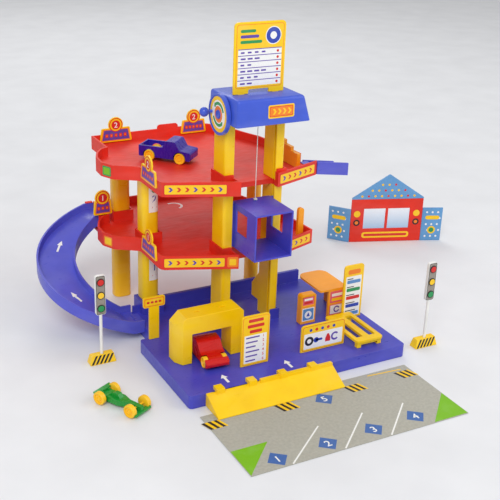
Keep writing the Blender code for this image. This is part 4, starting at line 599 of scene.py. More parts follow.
def lathe(name: str, sections: list[tuple[list[Point], float]], sides: int = 40) -> bpy.types.Object:
    """Turn closed sections about the X axis.

    Args:
        name: The piece's name.
        sections: Each section's points and the sign that mirrors it along the axis.
        sides: How many faces go round.

    Returns:
        The piece, centred on the origin.
    """
    shape = bmesh.new()
    for points, side in sections:
        rings = []
        for radius, along in points:
            if radius < 1e-6:
                rings.append([shape.verts.new((along * side * MM, 0, 0))])
                continue
            rings.append([shape.verts.new((along * side * MM,
                                           radius * MM * math.cos(2 * math.pi * k / sides),
                                           radius * MM * math.sin(2 * math.pi * k / sides)))
                          for k in range(sides)])
        for first, second in zip(rings, rings[1:]):
            for k in range(sides):
                after = (k + 1) % sides
                if len(first) == 1:
                    shape.faces.new((first[0], second[k], second[after]))
                elif len(second) == 1:
                    shape.faces.new((first[k], second[0], first[after]))
                else:
                    shape.faces.new((first[k], second[k], second[after], first[after]))
    bmesh.ops.recalc_face_normals(shape, faces=shape.faces)
    mesh = bpy.data.meshes.new(name)
    shape.to_mesh(mesh)
    shape.free()
    mesh.shade_smooth()
    mesh.set_sharp_from_angle(angle=math.radians(50))
    return add_object(name, mesh)


@dataclass
class Structure:
    """The base plate, decks, columns, supports and ramps."""

    ramps: tuple[str, ...] = ("curved_ramp", "exit_ramp")
    reds: tuple[str, ...] = ("deck_1", "deck_2", "ramp_connector")
    sides: tuple[str, ...] = ("left", "right")
    levels: tuple[str, ...] = ("lower", "middle", "upper")

    def dress(self) -> None:
        """Give each moulded piece its plastic."""
        dress_node("base_plate", Plastic.BASE_BLUE, 0.8)
        for name in self.ramps:
            dress_node(name, Plastic.RAMP_BLUE)
        for name in self.reds:
            dress_node(name, Plastic.RED, 0.6)
        for side in self.sides:
            for level in self.levels:
                dress_node(f"lift_column_{side}_{level}", Plastic.YELLOW)
        for level in ("lower", "upper"):
            dress_node(f"support_front_left_{level}", Plastic.YELLOW)
            # Both back supports get the yellow deepened by painted shade, for the shade under the decks.
            dress_node(f"support_back_left_{level}", Plastic.YELLOW_PAINTED_SHADE)
            dress_node(f"support_back_right_{level}", Plastic.YELLOW_PAINTED_SHADE)
        for name in ("entry_ramp", "gatehouse", "service_rack"):
            dress_node(name, Plastic.YELLOW, 0.7)
        for name in ("service_wall", "fuel_pump", "deck_1_booth", "deck_2_booth"):
            dress_node(name, Plastic.ORANGE, 0.6)


@dataclass
class RimStrips:
    """The printed strips on the front rims of both decks."""

    left_start: Point = (-146.5, 40.0)
    left_end: Point = (-39.0, -2.0)
    right_start: Point = (30.5, 12.5)
    right_end: Point = (117.0, 42.0)
    left_margins: Point = (4.0, 20.0)
    right_margins: Point = (4.0, 6.0)
    low: float = -5.0
    height: float = 16.0

    def strip(self, name: str, start: Point, end: Point, floor: float, margins: Point) -> None:
        """Build one strip along a rim, with a margin at either end."""
        first = Vector((*start, floor + self.low))
        direction = Vector((end[0] - start[0], end[1] - start[1], 0))
        length = direction.length - sum(margins)
        direction.normalize()
        label = Label(name, first + direction * margins[0], direction, UP)
        label.panel(0, 0, length, self.height, Ink.RED, 0, 2.0)
        label.panel(1.2, 1.2, length - 2.4, self.height - 2.4, Ink.YELLOW, 1, 1.5)
        count = int(length // 12)
        pitch = (length - 8) / count
        for index in range(count):
            x = 4 + pitch * (index + 0.5)
            ink = Ink.RED if index % 3 else Ink.VIOLET
            label.area([(x - 3.4, 4.6), (x + 0.2, 4.6), (x + 3.4, 8.0), (x + 0.2, 11.4), (x - 3.4, 11.4),
                        (x - 0.2, 8.0)], ink, 2)
        label.build()

    def build(self) -> None:
        """Build the strips of both decks and the small end sticker on the lower one."""
        for level, floor in enumerate(DECK_FLOORS, start=1):
            self.strip(f"strip_{level}_left", self.left_start, self.left_end, floor, self.left_margins)
            self.strip(f"strip_{level}_right", self.right_start, self.right_end, floor,
                       self.right_margins)
        direction = Vector((self.left_end[0] - self.left_start[0],
                            self.left_end[1] - self.left_start[1], 0))
        place = Vector((*self.left_end, DECK_FLOORS[0] + self.low)) - direction.normalized() * 17.0
        label = Label("strip_end", place, direction, UP)
        label.panel(0, 0, 16, self.height, Ink.ORANGE, 0, 2.0)
        label.panel(3, 3, 10, self.height - 6, Ink.YELLOW, 1, 1.5)
        label.build()


@dataclass
class Signs:
    """Every board that carries a print."""

    toll_sign_low: float = 73.5

    def dress(self) -> None:
        """Give the boards their yellow plastic."""
        for name in ("top_sign", "price_board", "service_board", "totem", "toll_sign", "level_sign_1",
                     "level_sign_2", "level_sign_3", "level_sign_4", "level_sign_5"):
            dress_node(name, Plastic.YELLOW, 0.4)

    def top_sign(self) -> None:
        """Print the board on the hood: a roundel, bars and a list of rows."""
        low, high = (Vector(corner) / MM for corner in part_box("top_sign"))
        base = high.z - 99.7
        label = Label("top_sign_print", Vector((low.x + 3, low.y, base + 8)), RIGHT, UP)
        width = high.x - low.x - 6
        height = high.z - base - 11
        label.panel(0, 0, width, height, Ink.ORANGE, 0, 4.0)
        label.panel(0.8, 0.8, width - 1.6, height - 1.6, Ink.YELLOW, 1, 3.5)
        panel_high = height * 0.62
        label.panel(3, 3, width - 6, panel_high - 3, Ink.WHITE, 2)
        rows = 6
        pitch = (panel_high - 3) / rows
        for row in range(rows):
            y = 3 + pitch * row
            label.panel(3, y + pitch - 1.1, width - 6, 1.1, Ink.VIOLET, 3)
            label.disc(width - 9, y + pitch * 0.42, 1.9, Ink.RED, 3)
            for column in range(2 + row % 3):
                label.panel(7 + column * 11, y + pitch * 0.28, 8.0 - 2.0 * (row % 2), 2.4,
                            Ink.VIOLET, 3, 0.8)
        centre_y = (height + panel_high) / 2
        label.disc(width - 17, centre_y, 12.5, Ink.WHITE, 2)
        label.disc(width - 17, centre_y, 11.3, Ink.BLUE, 3)
        label.disc(width - 17, centre_y, 5.2, Ink.WHITE, 4)
        for index, ink in enumerate((Ink.GREEN, Ink.VIOLET, Ink.GREEN)):
            label.panel(6, centre_y - 9.5 + 7.5 * index, 34 - 5 * index, 4.2, ink, 2, 2.0)
        label.build()
        back = Label("top_sign_back", Vector((high.x - 6, high.y, base + 12)), Vector((-1, 0, 0)), UP)
        back.panel(0, 0, width - 6, height - 8, Ink.ORANGE, 0, 4.0)
        back.panel(0.8, 0.8, width - 7.6, height - 9.6, Ink.YELLOW, 1, 3.5)
        for row in range(3):
            back.panel(10, 18 + 20 * row, width - 26, 8, (Ink.VIOLET, Ink.WHITE, Ink.RED)[row], 2, 4.0)
        back.build()

    def price_board(self) -> None:
        """Print the price board: bars, then a list with numbers."""
        label, width, height = front_label("price_board_print", "price_board", 1.6)
        label.panel(0, 0, width, height, Ink.ORANGE, 0, 4.0)
        label.panel(0.7, 0.7, width - 1.4, height - 1.4, Ink.YELLOW, 1, 3.4)
        label.panel(3, 3, width - 6, height * 0.58, Ink.WHITE, 2, 1.0)
        pitch = height * 0.58 / 6
        for row in range(6):
            y = 3 + pitch * (row + 0.5)
            label.panel(5.5, y - 1.1, 16 + 3 * (row % 3), 2.2, Ink.VIOLET, 3, 0.6)
            label.number(width - 8, y, 4.6, str(6 - row), Ink.RED, 3)
        for row, bar_width in enumerate((20, 27, 24)):
            label.panel(width / 2 - bar_width / 2, height * 0.66 + 8.5 * row, bar_width, 5,
                        Ink.RED, 2, 1.5)
        label.build()

    def totem(self) -> None:
        """Print the tall board: a coloured list."""
        label, width, height = front_label("totem_print", "totem", 1.5)
        label.panel(0, 0, width, height, Ink.YELLOW, 0, 3.4)
        label.panel(2, 2, width - 4, height * 0.78, Ink.WHITE, 1, 1.0)
        label.panel(5, height - 14, width - 10, 8, Ink.ORANGE, 1, 3.0)
        inks = (Ink.SKY, Ink.BLUE, Ink.RED, Ink.GREEN, Ink.SKY)
        pitch = height * 0.78 / len(inks)
        for row, ink in enumerate(inks):
            y = 3.5 + pitch * row
            label.panel(4, y, width - 8, pitch * 0.42, ink, 2, 1.6)
            label.panel(4, y + pitch * 0.52, width - 14 - 2 * row, 1.5, Ink.BLACK, 2)
        label.build()

    def service_board(self) -> None:
        """Print the service board: plain tool shapes on white."""
        label, width, height = front_label("service_board_print", "service_board", 1.6)
        label.panel(0, 0, width, height, Ink.RED, 0, 4.0)
        label.panel(0.7, 0.7, width - 1.4, height - 1.4, Ink.YELLOW, 1, 3.4)
        label.panel(3, 3, width - 6, height * 0.62, Ink.WHITE, 2, 1.0)
        label.disc(12, 15.5, 7.5, Ink.BLACK, 3)
        label.disc(12, 15.5, 3.6, Ink.WHITE, 4)
        label.panel(23, 13.6, 12, 3.8, Ink.BLUE, 3, 1.8)
        label.disc(24, 15.5, 4.4, Ink.BLUE, 3)
        label.area([(40, 9), (49, 9), (49, 15), (46, 22), (43, 22), (40, 15)], Ink.RED, 3)
        label.arc_band(57, 15.5, 5.5, 3.0, 40, 320, Ink.VIOLET, 3)
        for index in range(5):
            label.disc(14 + 10 * index, height - 6.8, 2.5, Ink.RED if index % 2 else Ink.BLUE, 2)
        label.build()

    def toll_sign(self) -> None:
        """Print the toll sign."""
        low, high = (Vector(corner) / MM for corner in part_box("toll_sign"))
        label = Label("toll_sign_print", Vector((low.x + 1.5, low.y, self.toll_sign_low + 1.5)),
                      RIGHT, UP)
        width = high.x - low.x - 3
        height = high.z - self.toll_sign_low - 3
        label.panel(0, 0, width, height, Ink.ORANGE, 0, 2.5)
        label.panel(1.5, 1.5, width - 3, height - 3, Ink.YELLOW, 1, 1.5)
        for index in range(4):
            label.panel(4 + 6.4 * index, 5.0, 4.4, height - 10, Ink.RED, 2, 1.0)
        label.build()

    def level_sign(self, number: int, digit: str, faces_left: bool) -> None:
        """Print one level sign: a dark panel below a ringed disc.

        Args:
            number: The sign's number in its node name.
            digit: The level that it shows.
            faces_left: Whether it faces -X; every other sign faces -Y.
        """
        low, high = (Vector(corner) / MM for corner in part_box(f"level_sign_{number}"))
        middle = (low + high) / 2
        if faces_left:
            corner = Vector((low.x, middle.y, low.z))
            across = Vector((0, -1, 0))
            half = (high.y - low.y) / 2
        else:
            corner = Vector((middle.x, low.y, low.z))
            across = RIGHT
            half = (high.x - low.x) / 2
        label = Label(f"level_sign_print_{number}", corner, across, UP)
        low_half = half - 2.2
        high_half = low_half * 0.86
        label.area([(-low_half, 1.8), (low_half, 1.8), (high_half, 21.6), (-high_half, 21.6)],
                   Ink.ORANGE, 0)
        label.area([(-low_half + 1.8, 3.4), (low_half - 1.8, 3.4), (high_half - 1.6, 20.2),
                    (1.6 - high_half, 20.2)], Ink.VIOLET, 1)
        count = 5 if half > 20 else 3
        for index in range(count):
            x = (index - (count - 1) / 2) * low_half * 1.55 / count
            label.panel(x - 2.6, 8.0, 5.2, 6.0, Ink.RED, 2, 1.2)
            label.panel(x - 1.2, 9.4, 2.4, 3.2, Ink.ORANGE, 3, 0.6)
        ring_height = 28.5
        for radius, ink, layer in ((11.6, Ink.RED, 2), (10.2, Ink.YELLOW, 3), (7.6, Ink.RED, 4)):
            label.disc(0, ring_height, radius, ink, layer)
        label.number(0, ring_height, 9.0, digit, Ink.WHITE, 5)
        label.build()

    def level_signs(self) -> None:
        """Print the five level signs."""
        self.level_sign(1, "1", True)
        self.level_sign(2, "2", True)
        self.level_sign(3, "2", False)
        self.level_sign(4, "2", False)
        self.level_sign(5, "1", False)

    def build(self) -> None:
        """Dress and print every board."""
        self.dress()
        self.top_sign()
        self.price_board()
        self.totem()
        self.service_board()
        self.toll_sign()
        self.level_signs()


@dataclass
class SmallLabels:
    """Stickers on the pillars, the hood, the pump, the wall and the decks."""

    wall_left: float = 120.0

    def pillars(self) -> None:
        """Wrap a level number round the front of both front left pillars."""
        radius = 9.0
        for node, digit in (("support_front_left_lower", "1"), ("support_front_left_upper", "2")):
            low, high = (Vector(corner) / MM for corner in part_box(node))
            flat = high.x - low.x - 2 * radius
            turn_x = high.x - radius

            def wrapped(x: float, y: float) -> tuple[Vector, Vector]:
                if x <= flat:
                    return Vector((low.x + radius + x, low.y, high.z - 54 + y)), Vector((0, -1, 0))
                angle = (x - flat) / radius
                out = Vector((math.sin(angle), -math.cos(angle), 0))
                return Vector((turn_x, low.y + radius, high.z - 54 + y)) + out * radius, out

            label = Label(f"pillar_number_{digit}", low, RIGHT, UP, surface=wrapped)
            width = flat + 9.0
            slices = 12
            for index in range(slices):
                label.panel(width * index / slices, 0, width / slices, 46, Ink.WHITE, 0)
            label.arc_band(width / 2, 36, 3.6, 2.0, 0, 300, Ink.GREEN, 1)
            label.number(width / 2, 22, 11, digit, Ink.BLUE, 1)
            label.panel(width / 2 - 3.5, 7, 7, 2.2, Ink.RED, 1)
            label.build()

    def hood(self) -> None:
        """Put a framed plate on the hood's sloping front."""
        low, high = (Vector(corner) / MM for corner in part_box("hood"))
        slope = Vector((0, 1.5, 38.0)).normalized()
        start = Vector((-8, low.y, low.z)) + slope * 9.0
        label = Label("hood_plate", start, RIGHT, slope)
        label.panel(0, 0, 42, 19, Ink.YELLOW, 0, 2.5)
        label.panel(2, 2, 38, 15, Ink.RED, 1, 1.8)
        label.panel(3, 3, 36, 13, Ink.ORANGE, 2, 1.2)
        for index in range(4):
            label.area([(7 + 8 * index, 5.5), (10 + 8 * index, 5.5), (13 + 8 * index, 9.5),
                        (10 + 8 * index, 13.5), (7 + 8 * index, 13.5), (10 + 8 * index, 9.5)],
                       Ink.YELLOW, 3)
        label.build()

    def service(self) -> None:
        """Put displays on the fuel pump and on the service wall."""
        label, width, height = front_label("pump_print", "fuel_pump", 2.5)
        label.panel(0, 2, width, height * 0.5, Ink.WHITE, 0, 1.0)
        label.panel(1.5, 3.5, width - 3, height * 0.5 - 3, Ink.SKY, 1, 1.0)
        label.disc(width / 2, height * 0.28, 6.4, Ink.WHITE, 2)
        label.area([(width / 2 - 3, height * 0.22), (width / 2 + 3, height * 0.22),
                    (width / 2, height * 0.38)], Ink.BLUE, 3)
        label.build()
        low, high = (Vector(corner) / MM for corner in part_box("fuel_pump"))
        screen = Label("pump_screen", Vector((low.x + 3.8, low.y + 1.0, high.z - 18.2)), RIGHT, UP)
        screen.panel(0, 0, 19.4, 13.4, Ink.ROSE, 0, 1.0)
        screen.panel(2.2, 7.6, 15, 3.6, Ink.WHITE, 1, 0.5)
        screen.panel(2.2, 2.2, 15, 3.6, Ink.RED, 1, 0.5)
        screen.build()
        low, high = (Vector(corner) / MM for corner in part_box("service_wall"))
        front = Vector((self.wall_left + 3.0, low.y + 0.3, low.z + 3))
        label = Label("service_wall_print", front, RIGHT, UP)
        label.panel(0, 0, 27, 18, Ink.ROSE, 0, 1.5)
        label.panel(1.5, 1.5, 24, 15, Ink.WHITE, 1, 1.0)
        label.arc_band(13.5, 9, 4.6, 2.4, 20, 340, Ink.VIOLET, 2)
        label.panel(0, 21, 27, 20, Ink.ROSE, 0, 1.5)
        label.panel(3, 24, 21, 5, Ink.YELLOW, 1, 1.0)
        label.panel(3, 32, 21, 5, Ink.WHITE, 1, 1.0)
        label.build()

    def arrows(self) -> None:
        """Put the road arrows on the base plate and on the curved ramp."""
        for index, (x, y) in enumerate(((-114, -111), (-12, -112))):
            label = Label(f"road_arrow_{index + 1}", Vector((x, y, BASE_FLOOR)), RIGHT, BACK)
            label.arrow(0, 0, 22, 11, Ink.WHITE)
            label.build()
        centre = Vector((-173.8, 190.0, 0))
        middle = 82.5
        climb = 118.0
        for index, share in enumerate((0.28, 0.68)):

            def on_ramp(x: float, y: float) -> tuple[Vector, Vector]:
                angle = math.pi * share - y / middle
                radius = middle - x
                place = centre + Vector((-radius * math.sin(angle), radius * math.cos(angle), 0))
                place.z = DECK_FLOORS[0] - climb * angle / math.pi
                return place, UP

            label = Label(f"ramp_arrow_{index + 1}", centre, RIGHT, BACK, lift=1.2, surface=on_ramp)
            label.arrow(0, 0, 21, 9, Ink.WHITE)
            label.build()

    def deck_marks(self) -> None:
        """Put a sticker on the bulge of either deck and the white mark on the lower deck's floor."""
        across = Vector((10.5, -22.0, 0))
        for name, floor, outer, inner in (("bulge_sticker_1", DECK_FLOORS[0], Ink.ORANGE, Ink.YELLOW),
                                          ("bulge_sticker_2", DECK_FLOORS[1], Ink.GREEN, Ink.LIME)):
            start = Vector((-191.5, 163.0, floor - 5.0)) + across.normalized() * 3.5
            label = Label(name, start, across, UP)
            label.panel(0, 0, 17, 15, outer, 0, 2.0)
            label.panel(2, 2, 13, 11, inner, 1, 1.5)
            label.build()
        mark = Label("floor_mark", Vector((-26.0, 262.0, DECK_FLOORS[0])), RIGHT, BACK)
        mark.arc_band(0, 0, 14.0, 4.0, -70, 110, Ink.WHITE)
        mark.build()

    def build(self) -> None:
        """Build every small label."""
        self.pillars()
        self.hood()
        self.service()
        self.arrows()
        self.deck_marks()


@dataclass
class Winch:
    """The hood, the crank with its rings, the knob, the drum and the string."""

    axle: Point = (29.0, 360.0)
    face_x: float = -64.1
    dish: float = 1.2
    string_radius: float = 0.6

    def dress(self) -> None:
        """Give the lift's solids their plastics."""
        dress_node("hood", Plastic.HOOD_BLUE, 0.8)
        dress_node("crank_wheel", Plastic.HOOD_BLUE)
        dress_node("crank_knob", Plastic.HOOD_BLUE, 0)
        dress_node("winch_drum", Plastic.WHITE, 0)
        dress_node("lift_cabin", Plastic.CABIN_BLUE, 0.5)

    def rings(self) -> None:
        """Print the crank's rings and its two turning arrows."""
        corner = Vector((self.face_x + self.dish, *self.axle))
        label = Label("crank_print", corner, Vector((0, -1, 0)), UP, "crank")
        label.arc_band(0, 0, 23.2, 5.4, 0, 359.9, Ink.YELLOW, 0)
        label.arc_band(0, 0, 16.2, 8.4, 0, 359.9, Ink.WHITE, 0)
        for start in (20, 200):
            label.arc_band(0, 0, 15.6, 4.2, start, start + 110, Ink.GREEN, 1)
            tip = math.radians(start + 128)
            end = math.radians(start + 110)
            label.area([(19.4 * math.cos(end), 19.4 * math.sin(end)),
                        (15.6 * math.cos(tip), 15.6 * math.sin(tip)),
                        (11.9 * math.cos(end), 11.9 * math.sin(end))], Ink.GREEN, 1)
        label.arc_band(0, 0, 9.3, 5.2, 0, 359.9, Ink.ORANGE, 0)
        label.build()

    def cord_curve(self, name: str, points: list[tuple[float, float, float]]) -> bpy.types.Curve:
        """Return a round cord's curve through a row of points, in metres."""
        curve = bpy.data.curves.new(name, "CURVE")
        curve.dimensions = "3D"
        curve.bevel_depth = self.string_radius * MM
        curve.bevel_resolution = 2
        curve.use_fill_caps = True
        spline = curve.splines.new("POLY")
        spline.points.add(len(points) - 1)
        for point, place in zip(spline.points, points):
            point.co = (*place, 1)
        return curve

    def string(self) -> None:
        """Build the string so that it stretches between the drum and the cabin."""
        low, high = (Vector(corner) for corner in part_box("lift_string"))
        x = (low.x + high.x) / 2
        y = (low.y + high.y) / 2
        count = 24
        curve = self.cord_curve("string", [(x, y, low.z + (high.z - low.z) * (index / count))
                                           for index in range(count + 1)])
        mesh = evaluated_mesh(add_object("string_path", curve))
        piece = add_object("string", mesh)
        mesh.materials.clear()
        mesh.materials.append(SpunCord("string_cord", CORD_COLOUR).material())
        mesh.shade_smooth()
        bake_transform(piece)
        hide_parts("lift_string")

    def knot(self) -> None:
        """Tie the string's knot on the cabin's roof."""
        low, high = (Vector(corner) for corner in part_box("lift_string"))
        x = (low.x + high.x) / 2
        y = (low.y + high.y) / 2
        turns = 60
        points = []
        for index in range(turns + 1):
            angle = 2 * math.pi * index / turns
            ring = (2.0 + 0.9 * math.cos(3 * angle)) * MM
            points.append((x + ring * math.cos(2 * angle), y + ring * math.sin(2 * angle),
                           low.z + (1.5 + 0.9 * math.sin(3 * angle)) * MM))
        curve = self.cord_curve("knot", points)
        piece = add_object("string_knot", curve)
        curve.materials.append(SpunCord("string_cord", CORD_COLOUR).material())
        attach(piece, "cabin")

    def build(self) -> None:
        """Dress the winch and add its print, string and knot."""
        self.dress()
        self.rings()
        self.string()
        self.knot()


@dataclass
class Car:
    """One toy car: its body's plastic and its turned wheels."""

    name: str
    finish: Plastic
    place: Point
    turn: float
    floor: float
    wheelbase: float
    radius: float
    track: float
    half_width: float = 3.5
    rod_radius: float = 1.5

    def axle(self, end: str, side: float) -> None:
        """Replace one axle's wheels with turned ones that have hubs and rounded treads."""
        reach = self.track / 2
        profile = [(radius, along + reach)
                   for radius, along in wheel_profile(self.radius, self.half_width)]
        rod = [(0.0, reach), (self.rod_radius, reach), (self.rod_radius, -reach), (0.0, -reach)]
        piece = lathe(f"{self.name}_{end}_tyres", [(profile, 1.0), (profile, -1.0), (rod, 1.0)])
        turn = Matrix.Rotation(math.radians(self.turn), 4, "Z")
        middle = Vector((*self.place, self.floor + self.radius)) * MM
        offset = turn @ Vector((0, side * self.wheelbase / 2 * MM, 0))
        piece.data.transform(Matrix.Translation(middle + offset) @ turn)
        use_finish(piece, Plastic.WHEEL)
        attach(piece, f"{self.name}_{end}_axle")
        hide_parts(f"{self.name}_{end}_wheels")

    def build(self) -> None:
        """Dress the body and build both pairs of wheels."""
        dress_node(f"{self.name}_body", self.finish, 0.4)
        self.axle("front", 1.0)
        self.axle("rear", -1.0)


@dataclass
class TrafficLight:
    """One traffic light with its lenses and striped foot."""

    side: str
    place: Point
    panel_low: float = 78.0
    pitch: float = 62.0 / 3
    lens: float = 5.2
    depth: float = 2.5
    foot_width: float = 40.0
    foot_depth: float = 16.0
    foot_height: float = 14.0
    foot_slope: float = 3.0

    def lenses(self) -> None:
        """Build the dark face with its taupe inner panel and the three coloured lenses in black rings."""
        x, y = self.place
        label = Label(f"traffic_face_{self.side}", Vector((x, y - self.depth, self.panel_low)),
                      RIGHT, UP)
        label.panel(-6.9, 0.6, 13.8, 60.8, Ink.BLACK, 0, 2.6)
        label.panel(-6.1, 1.4, 12.2, 59.2, Ink.TAUPE, 1, 2.2)
        for index, ink in enumerate((Ink.GREEN, Ink.YELLOW, Ink.RED)):
            label.disc(0, self.pitch * (index + 0.5), self.lens + 0.6, Ink.BLACK, 20)
            label.disc(0, self.pitch * (index + 0.5), self.lens - 0.5, ink, 22)
        label.build()

    def foot(self) -> None:
        """Print hazard stripes on the front and back of the sloping foot."""
        for face in (-1, 1):
            x, y = self.place
            start = Vector((x + face * self.foot_width / 2, y + face * self.foot_depth / 2, 0))
            slope = Vector((0, -face * self.foot_slope, self.foot_height)).normalized()
            label = Label(f"foot_stripes_{self.side}_{'front' if face < 0 else 'back'}", start,
                          Vector((-face, 0, 0)), slope)
            height = math.hypot(self.foot_height, self.foot_slope)
            label.stripes(self.foot_slope - 1.5, 0.8, 31, height - 1.6, 5, Ink.BLACK, 0)
            label.build()

    def build(self) -> None:
        """Dress the post and the foot, then add their prints."""
        dress_node(f"traffic_light_{self.side}_post", Plastic.WHITE, 0.4)
        dress_node(f"traffic_light_{self.side}_base", Plastic.YELLOW, 0.6)
        self.lenses()
        self.foot()


@dataclass
class Stand:
    """The folding drive-in stand with windows that carry a painted sky reflection, and dotted wings."""

    place: Point = (427.5, 257.0)
    turn: float = -19.6
    width: float = 143.0
    hinge: float = 73.3

    def local(self, x: float, y: float, z: float) -> Vector:
        """Return a place on the stand in the toy's frame, in millimetres."""
        angle = math.radians(self.turn)
        across = Vector((math.cos(angle), math.sin(angle), 0))
        deep = Vector((-math.sin(angle), math.cos(angle), 0))
        return Vector((*self.place, 0)) + across * x + deep * y + Vector((0, 0, z))

    def face(self) -> None:
        """Print the front wall: sills and coloured dots, and add the window panes with their painted sky
        reflection.
        """
        across = self.local(1, 0, 0) - self.local(0, 0, 0)
        label = Label("stand_front_print", self.local(-self.width / 2, 0, 0), across, UP)
        for x in (12.0, 131.0):
            label.disc(x, 58, 6.5, Ink.YELLOW, 0)
            label.disc(x, 40, 6.5, Ink.BLACK, 0)
            label.disc(x, 40, 3.5, Ink.ORANGE, 1)
        label.panel(24, 8, 95, 12, Ink.YELLOW, 0, 5.0)
        label.panel(28, 11.5, 87, 5, Ink.RED, 1, 2.5)
        label.build()
        # The panes carry a painted sky reflection, pale at the top and deeper blue below.
        panes = Label("stand_panes", self.local(-self.width / 2, 1.0, 0), across, UP)
        for left in (25.5, 74.0):
            panes.panel(left, 27.5, 43, 41, WindowChoice.PANE, 0)
        panes.build()

    def gable(self) -> None:
        """Print dots on the gable."""
        across = self.local(1, 0, 0) - self.local(0, 0, 0)
        label = Label("stand_gable_print", self.local(0, 0, 88.3), across, UP)
        for row in range(3):
            for index in range(-4 + row, 5 - row):
                x = index * 13.0 + (6.5 if row % 2 else 0)
                if abs(x) < 62 - 18 * row:
                    label.disc(x, 6 + 11.5 * row, 2.2, Ink.YELLOW if (index + row) % 3 else Ink.RED, 0)
        label.build()

    def wing(self, side: str, hinge: float, turn: float, length: float, flip: bool) -> None:
        """Print dots and a roundel on one wing's front."""
        angle = math.radians(self.turn + turn)
        along = Vector((math.cos(angle), math.sin(angle), 0))
        across = -along if flip else along
        facing = across.cross(UP)
        start = self.local(hinge, 1.5, 0) + facing * 1.5 + along * (length if flip else 0.0)
        label = Label(f"stand_wing_print_{side}", start, across, UP, f"{side}_wing")
        for row in range(5):
            for column in range(3):
                x = 8 + column * 11 + (4 if row % 2 else 0)
                if x < length - 4:
                    label.disc(x, 9 + row * 12.5, 2.0, Ink.WHITE, 0)
        label.disc(length / 2, 22, 8.0, Ink.YELLOW, 1)
        label.disc(length / 2, 22, 5.0, Ink.GREEN, 2)
        label.panel(length / 2 - 14, 44, 28, 8, Ink.YELLOW, 1, 4.0)
        label.build()

    def build(self) -> None:
        """Dress and print the whole stand."""
        dress_node("stand_front", Plastic.RED, 0.4)
        for name in ("stand_gable", "stand_left_wing", "stand_right_wing"):
            dress_node(name, Plastic.STAND_BLUE, 0.3)
        self.face()
        self.gable()
        self.wing("left", -self.hinge, 147.0, 42.8, True)
        self.wing("right", self.hinge, -3.0, 39.0, False)


class WindowChoice(Enum):
    """The stand's window panes, with a painted sky reflection."""

    # This pane's gradient is a painted sky reflection.
    PANE = SkyReflectionPane("window_painted_sky_reflection", (250, 252, 255), (150, 190, 225), 0.02, 0.075)


@dataclass
class Mat:
    """The printed sheet: bays, numbers, green corners and hazard wedges."""

    top: float = 0.6
    digits: tuple[tuple[float, float, str], ...] = (
        (-128.0, -283.0, "1"), (-52.0, -281.0, "2"), (21.0, -279.0, "3"), (91.0, -277.0, "4"),
        (2.0, -188.0, "5"))

    def slanted(self, x: float, y: float, size: float) -> list[Point]:
        """Return a square turned by the bays' slant."""
        angle = math.radians(-38)
        corners = ((-size, -size), (size, -size), (size, size), (-size, size))
        return [(x + a * math.cos(angle) - b * math.sin(angle),
                 y + a * math.sin(angle) + b * math.cos(angle)) for a, b in corners]

    def build(self) -> None:
        """Dress the sheet and print it."""
        dress_node("parking_mat", Ink.MAT, 0)
        label = Label("mat_print", Vector((0, 0, self.top)), RIGHT, BACK, lift=0.06, step=0.03)
        label.area([(-174.5, -300), (-121, -245), (-174.5, -245)], Ink.LIME, 0)
        label.area([(162.5, -300), (162.5, -244), (106, -300)], Ink.LIME, 0)
        for start, end in (((-115, -300), (-42, -242)), ((-37, -300), (30, -240)),
                           ((35, -300), (96, -243))):
            self.line(label, start, end, 2.2, Ink.WHITE)
        self.line(label, (93, -162), (150, -166), 2.2, Ink.YELLOW)
        for x, y, digit in self.digits:
            label.area(self.slanted(x, y, 11.0), Ink.SIGN_BLUE, 0)
            label.number(x, y, 12, digit, Ink.WHITE, 1)
        for x, y in ((-162, -182), (-52, -184), (62, -182), (152, -180)):
            label.area([(x - 13, y - 9), (x + 13, y - 9), (x + 7, y + 9), (x - 19, y + 9)], Ink.YELLOW, 0)
            for index in range(3):
                left = x - 13 + 9 * index
                label.area([(left, y - 9), (left + 4.5, y - 9), (left - 1.5, y + 9), (left - 6, y + 9)],
                           Ink.BLACK, 1)
        label.build()

    def line(self, label: Label, start: Point, end: Point, width: float, ink: Ink) -> None:
        """Add a painted line between two points."""
        along = Vector((end[0] - start[0], end[1] - start[1])).normalized()
        side = Vector((-along.y, along.x)) * width / 2
        label.area([(start[0] - side.x, start[1] - side.y), (end[0] - side.x, end[1] - side.y),
                    (end[0] + side.x, end[1] + side.y), (start[0] + side.x, start[1] + side.y)], ink, 0)


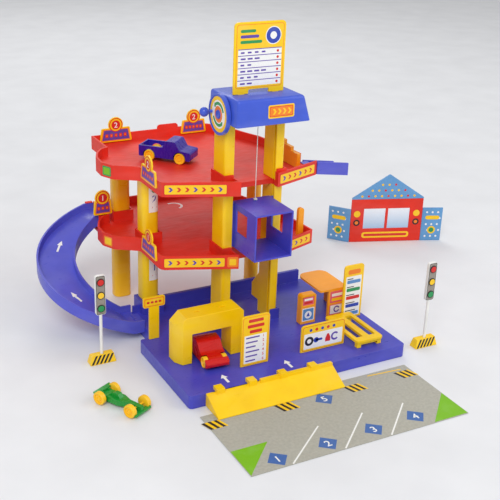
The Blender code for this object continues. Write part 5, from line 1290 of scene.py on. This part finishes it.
@dataclass
class Studio:
    """The pale floor, the lamps, the world and the camera."""

    eye: tuple[float, float, float] = (-652.6, -1124.5, 700.0)
    yaw: float = 27.2
    pitch: float = 22.3
    roll: float = 1.4
    lens: float = 67.85
    shift: Point = (0.0654, -0.02)
    floor_size: float = 8.0
    floor_gap: float = 0.0005

    def camera(self) -> None:
        """Set the camera at the picture's viewing angle."""
        data = bpy.data.cameras.new("camera")
        data.lens = self.lens
        data.sensor_width = 36.0
        data.shift_x, data.shift_y = self.shift
        data.clip_end = 50.0
        camera = add_object("camera", data)
        tilt = Matrix.Rotation(math.radians(90 - self.pitch), 4, "X")
        pan = Matrix.Rotation(math.radians(-self.yaw), 4, "Z")
        roll = Matrix.Rotation(math.radians(self.roll), 4, "Z")
        camera.matrix_world = Matrix.Translation(Vector(self.eye) * MM) @ pan @ tilt @ roll
        bpy.context.scene.camera = camera

    def lamp(self, name: str, place: Point | tuple, power: float, size: float) -> None:
        """Add one soft lamp that points at the toy."""
        data = bpy.data.lights.new(name, "AREA")
        data.energy = power
        data.size = size
        lamp = add_object(name, data)
        lamp.location = place
        aim = Vector((0.0, 0.1, 0.2)) - Vector(place)
        lamp.rotation_euler = aim.to_track_quat("-Z", "Y").to_euler()

    def floor(self) -> None:
        """Lay the pale floor just below the toy."""
        shape = bmesh.new()
        bmesh.ops.create_grid(shape, x_segments=4, y_segments=4, size=self.floor_size / 2)
        mesh = bpy.data.meshes.new("floor")
        shape.to_mesh(mesh)
        shape.free()
        floor = add_object("floor", mesh)
        floor.location = (0, 0, -self.floor_gap)
        graph = Graph("floor_paper")
        grain = graph.noise(9.0, 3.0)
        paper = graph.mix(graph.spread(grain, 0.0, 1.0), shade((226, 227, 230)), shade((232, 233, 236)))
        graph.link(paper, graph.shader.inputs["Base Color"])
        graph.shader.inputs["Roughness"].default_value = 0.85
        graph.shader.inputs["Specular IOR Level"].default_value = 0.2
        mesh.materials.append(graph.material)

    def world(self) -> None:
        """Fill the room with even light and a pale background."""
        world = bpy.data.worlds.new("studio")
        bpy.context.scene.world = world
        world.use_nodes = True
        background = world.node_tree.nodes["Background"]
        background.inputs["Color"].default_value = (0.90, 0.90, 0.90, 1.0)
        background.inputs["Strength"].default_value = 0.60

    def build(self) -> None:
        """Set up the whole studio."""
        bpy.context.scene.view_settings.view_transform = "Standard"
        self.camera()
        self.floor()
        self.world()
        self.lamp("key_lamp", (-1.6, -2.2, 2.6), 62.0, 1.6)
        self.lamp("fill_lamp", (2.4, -1.4, 1.8), 26.0, 2.2)
        self.lamp("back_lamp", (0.6, 2.6, 2.4), 26.0, 1.8)


def main() -> None:
    """Build the scene piece by piece."""
    logging.basicConfig(level=logging.INFO, format="%(message)s")
    cars = (
        Car("red_car", Plastic.CAR_RED, (-110.5, -48.0), 176.0, 20.3, 50.0, 8.5, 29.0),
        Car("blue_car", Plastic.CAR_BLUE, (-75.0, 175.0), -136.6, 252.3, 51.0, 9.0, 29.0),
        Car("green_car", Plastic.CAR_GREEN, (-259.0, -87.0), -152.1, 0.0, 54.0, 9.5, 30.2),
    )
    lights = (TrafficLight("left", (-242.0, 39.0)), TrafficLight("right", (229.0, -118.0)))
    Structure().dress()
    LOG.info("structure dressed")
    builders = (RimStrips(), Signs(), SmallLabels(), Winch(), *cars, *lights, Stand(), Mat(), Studio())
    for builder in builders:
        builder.build()
        LOG.info("%s built", type(builder).__name__)


if __name__ == "__main__":
    main()
